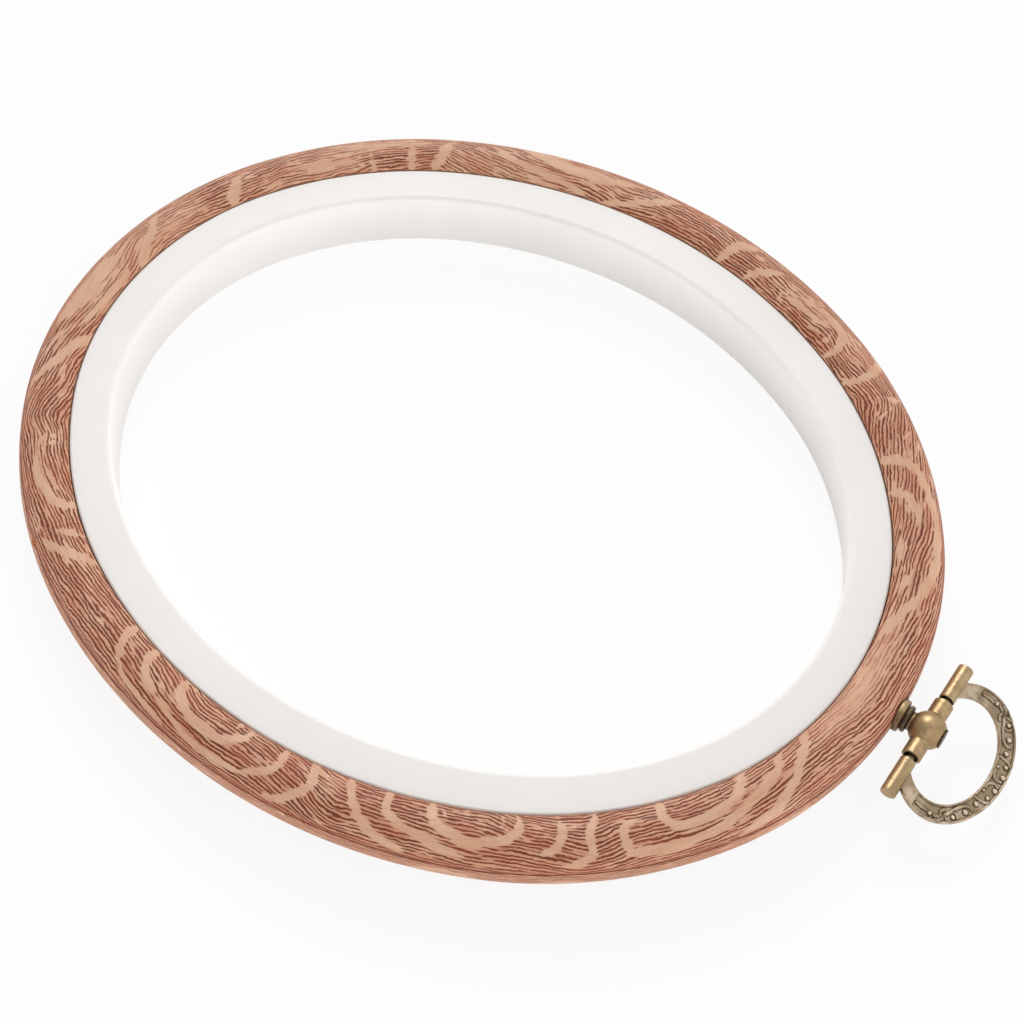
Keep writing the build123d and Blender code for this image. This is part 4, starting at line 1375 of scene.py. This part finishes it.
def bail_loop(brass):
    """The flat D of the bail, from inside one barrel's wall round to the other's."""
    turns = np.linspace(-1, 1, 601)
    outer = half_ellipse(bail_outer, turns)
    inner = half_ellipse(bail_inner, turns)
    width = np.linalg.norm(outer - inner, axis=1)[:, None]
    bends = bail_edge_radius * (1 - np.cos(np.linspace(0, math.pi / 2, 6)))
    middle = bends[-1] + (width - 2 * bends[-1]) * np.linspace(0, 1, 43)[1:-1]
    from_inner = np.hstack([np.tile(bends, (len(turns), 1)), middle, width - bends[::-1]])
    places = inner[:, None, :] + (outer - inner)[:, None, :] * (from_inner / width)[..., None]
    out, side = places[..., 0], places[..., 1]
    edge = np.minimum(from_inner, width - from_inner)
    height, level, foot = bail_relief(out, side, edge)
    top, low = bail_faces(out, edge, height)
    # Rows run over the top and come back along the underside
    back = slice(None, None, -1)
    up = np.hstack([top, low[:, back]])
    out = np.hstack([out, out[:, back]])
    side = np.hstack([side, side[:, back]])
    level = np.hstack([level, np.full_like(level, bail_plain_level)])
    foot = np.hstack([foot, np.zeros_like(foot)])
    rows, columns = out.shape
    corners, numbers = grid_faces(rows, columns, False, True)
    first_end = list(range(columns))
    last_end = list(range((rows - 1) * columns, rows * columns))[::-1]
    faces = numbers.tolist() + [first_end, last_end]
    mesh = new_mesh("bail_loop", bail_place(out, side, up).reshape(-1, 3), faces)
    shown = (corners[..., 0], corners[..., 1] % columns)
    plain = np.full(2 * columns, bail_plain_level)
    add_uv(mesh, "relief", np.append(level[shown], plain), np.append(foot[shown], np.zeros_like(plain)))
    made = piece("bail_loop", mesh, "hanger_bail", brass)
    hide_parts("bail")


def bail_barrel(side, brass):
    start = side * barrel_start
    mouth = side * (barrel_start + barrel_mouth_depth)
    bottom = side * (barrel_start + barrel_bore_depth)
    end = side * (barrel_start + barrel_length)
    profile = rounded_profile([
        (bottom, 0), (bottom, barrel_bore_radius), (mouth, barrel_bore_radius), (mouth, barrel_mouth_radius),
        (start, barrel_mouth_radius), (start, barrel_radius), (end, barrel_radius), (end, 0)],
        barrel_edge_radius)
    name = "bail_barrel_left" if side > 0 else "bail_barrel_right"
    piece(name, lathe(name, profile, "y"), "hanger_bail", brass)


# Stage


def floor():
    """The pale floor, white to the camera and in reflections, which still takes the object's shadow."""
    size = 3000.0
    corners = [(-size, -size, 0), (size, -size, 0), (size, size, 0), (-size, size, 0)]
    mesh = new_mesh("floor", corners, [(0, 1, 2, 3)])
    made = linked("floor", mesh)
    g = Finish("floor")
    g.surface(Base_Color=(0.96, 0.96, 0.96, 1.0), Roughness=0.9)
    ray = g.add("ShaderNodeLightPath").outputs
    clear = g.larger(ray["Is Camera Ray"], ray["Is Transmission Ray"])
    seen = g.larger(clear, g.times(ray["Is Glossy Ray"], 0.6))
    glow = g.add("ShaderNodeEmission", {"Color": (1, 1, 1, 1), "Strength": 1.0}).outputs[0]
    shaders = {0: g.times(seen, 0.88), 1: g.shader.outputs[0], 2: glow}
    g.plug(g.add("ShaderNodeMixShader", shaders).outputs[0], g.output.inputs["Surface"])
    mesh.materials.append(g.material)


def world():
    """A studio with bright walls and a dim ceiling, seen as plain white and reflected as a grey gradient."""
    made = bpy.data.worlds.new("studio")
    g = Graph(made)
    rise = g.split(g.add("ShaderNodeTexCoord").outputs["Generated"])["Z"]
    ray = g.add("ShaderNodeLightPath").outputs

    def walls(horizon, overhead):
        return g.fade(rise, 0.05, 0.5, horizon, overhead, "LINEAR")

    strength = g.choose(ray["Is Glossy Ray"], walls(2.9, 0.2), walls(0.7, 0.5))
    strength = g.choose(ray["Is Camera Ray"], strength, 0.98)
    background = g.add("ShaderNodeBackground", {"Strength": strength, "Color": (1, 1, 1, 1)})
    g.add("ShaderNodeOutputWorld", {"Surface": background.outputs[0]})
    bpy.context.scene.world = made


def sun(name, energy, angle, towards):
    data = bpy.data.lights.new(name, "SUN")
    data.energy = energy
    data.angle = math.radians(angle)
    linked(name, data).rotation_euler = Vector(towards).to_track_quat("Z", "Y").to_euler()


def camera():
    """The camera where the photograph was taken from, found from the ring's own outline."""
    data = bpy.data.cameras.new("camera")
    data.sensor_width = 36.0
    data.lens = camera_lens
    data.clip_start = 0.01
    made = linked("camera", data)
    turn = Matrix((camera_right, camera_up, camera_right.cross(camera_up))).transposed().to_4x4()
    made.matrix_world = Matrix.Translation(camera_place * MM) @ turn
    bpy.context.scene.camera = made


outer_ring()
inner_ring()
bail_brass = antique_brass("bail_brass", *bail_metal, relief=True)
barrels = antique_brass("barrel_brass", *barrel_brass)
base_collar(antique_brass("collar_brass", *collar_brass))
# The post takes the darker brass, which is painted shade
swivel_post(antique_brass("post_brass_painted_shade", *post_brass_painted_shade))
ball_hub(antique_brass("ball_brass", *ball_brass))
bail_loop(bail_brass)
for side in (-1, 1):
    bail_barrel(side, barrels)
plating = plated_steel()
for name in ("hanger_screw", "hinge_pin_left", "hinge_pin_right"):
    frame["nodes"][name].data.materials.clear()
    frame["nodes"][name].data.materials.append(plating)
floor()
world()
sun("key", 1.56, 30, (-0.55, 0.7, 0.82))
sun("fill", 0.9, 90, (0.85, -0.2, 0.8))
camera()
bpy.context.scene.view_settings.view_transform = "Standard"

bpy.context.view_layer.update()
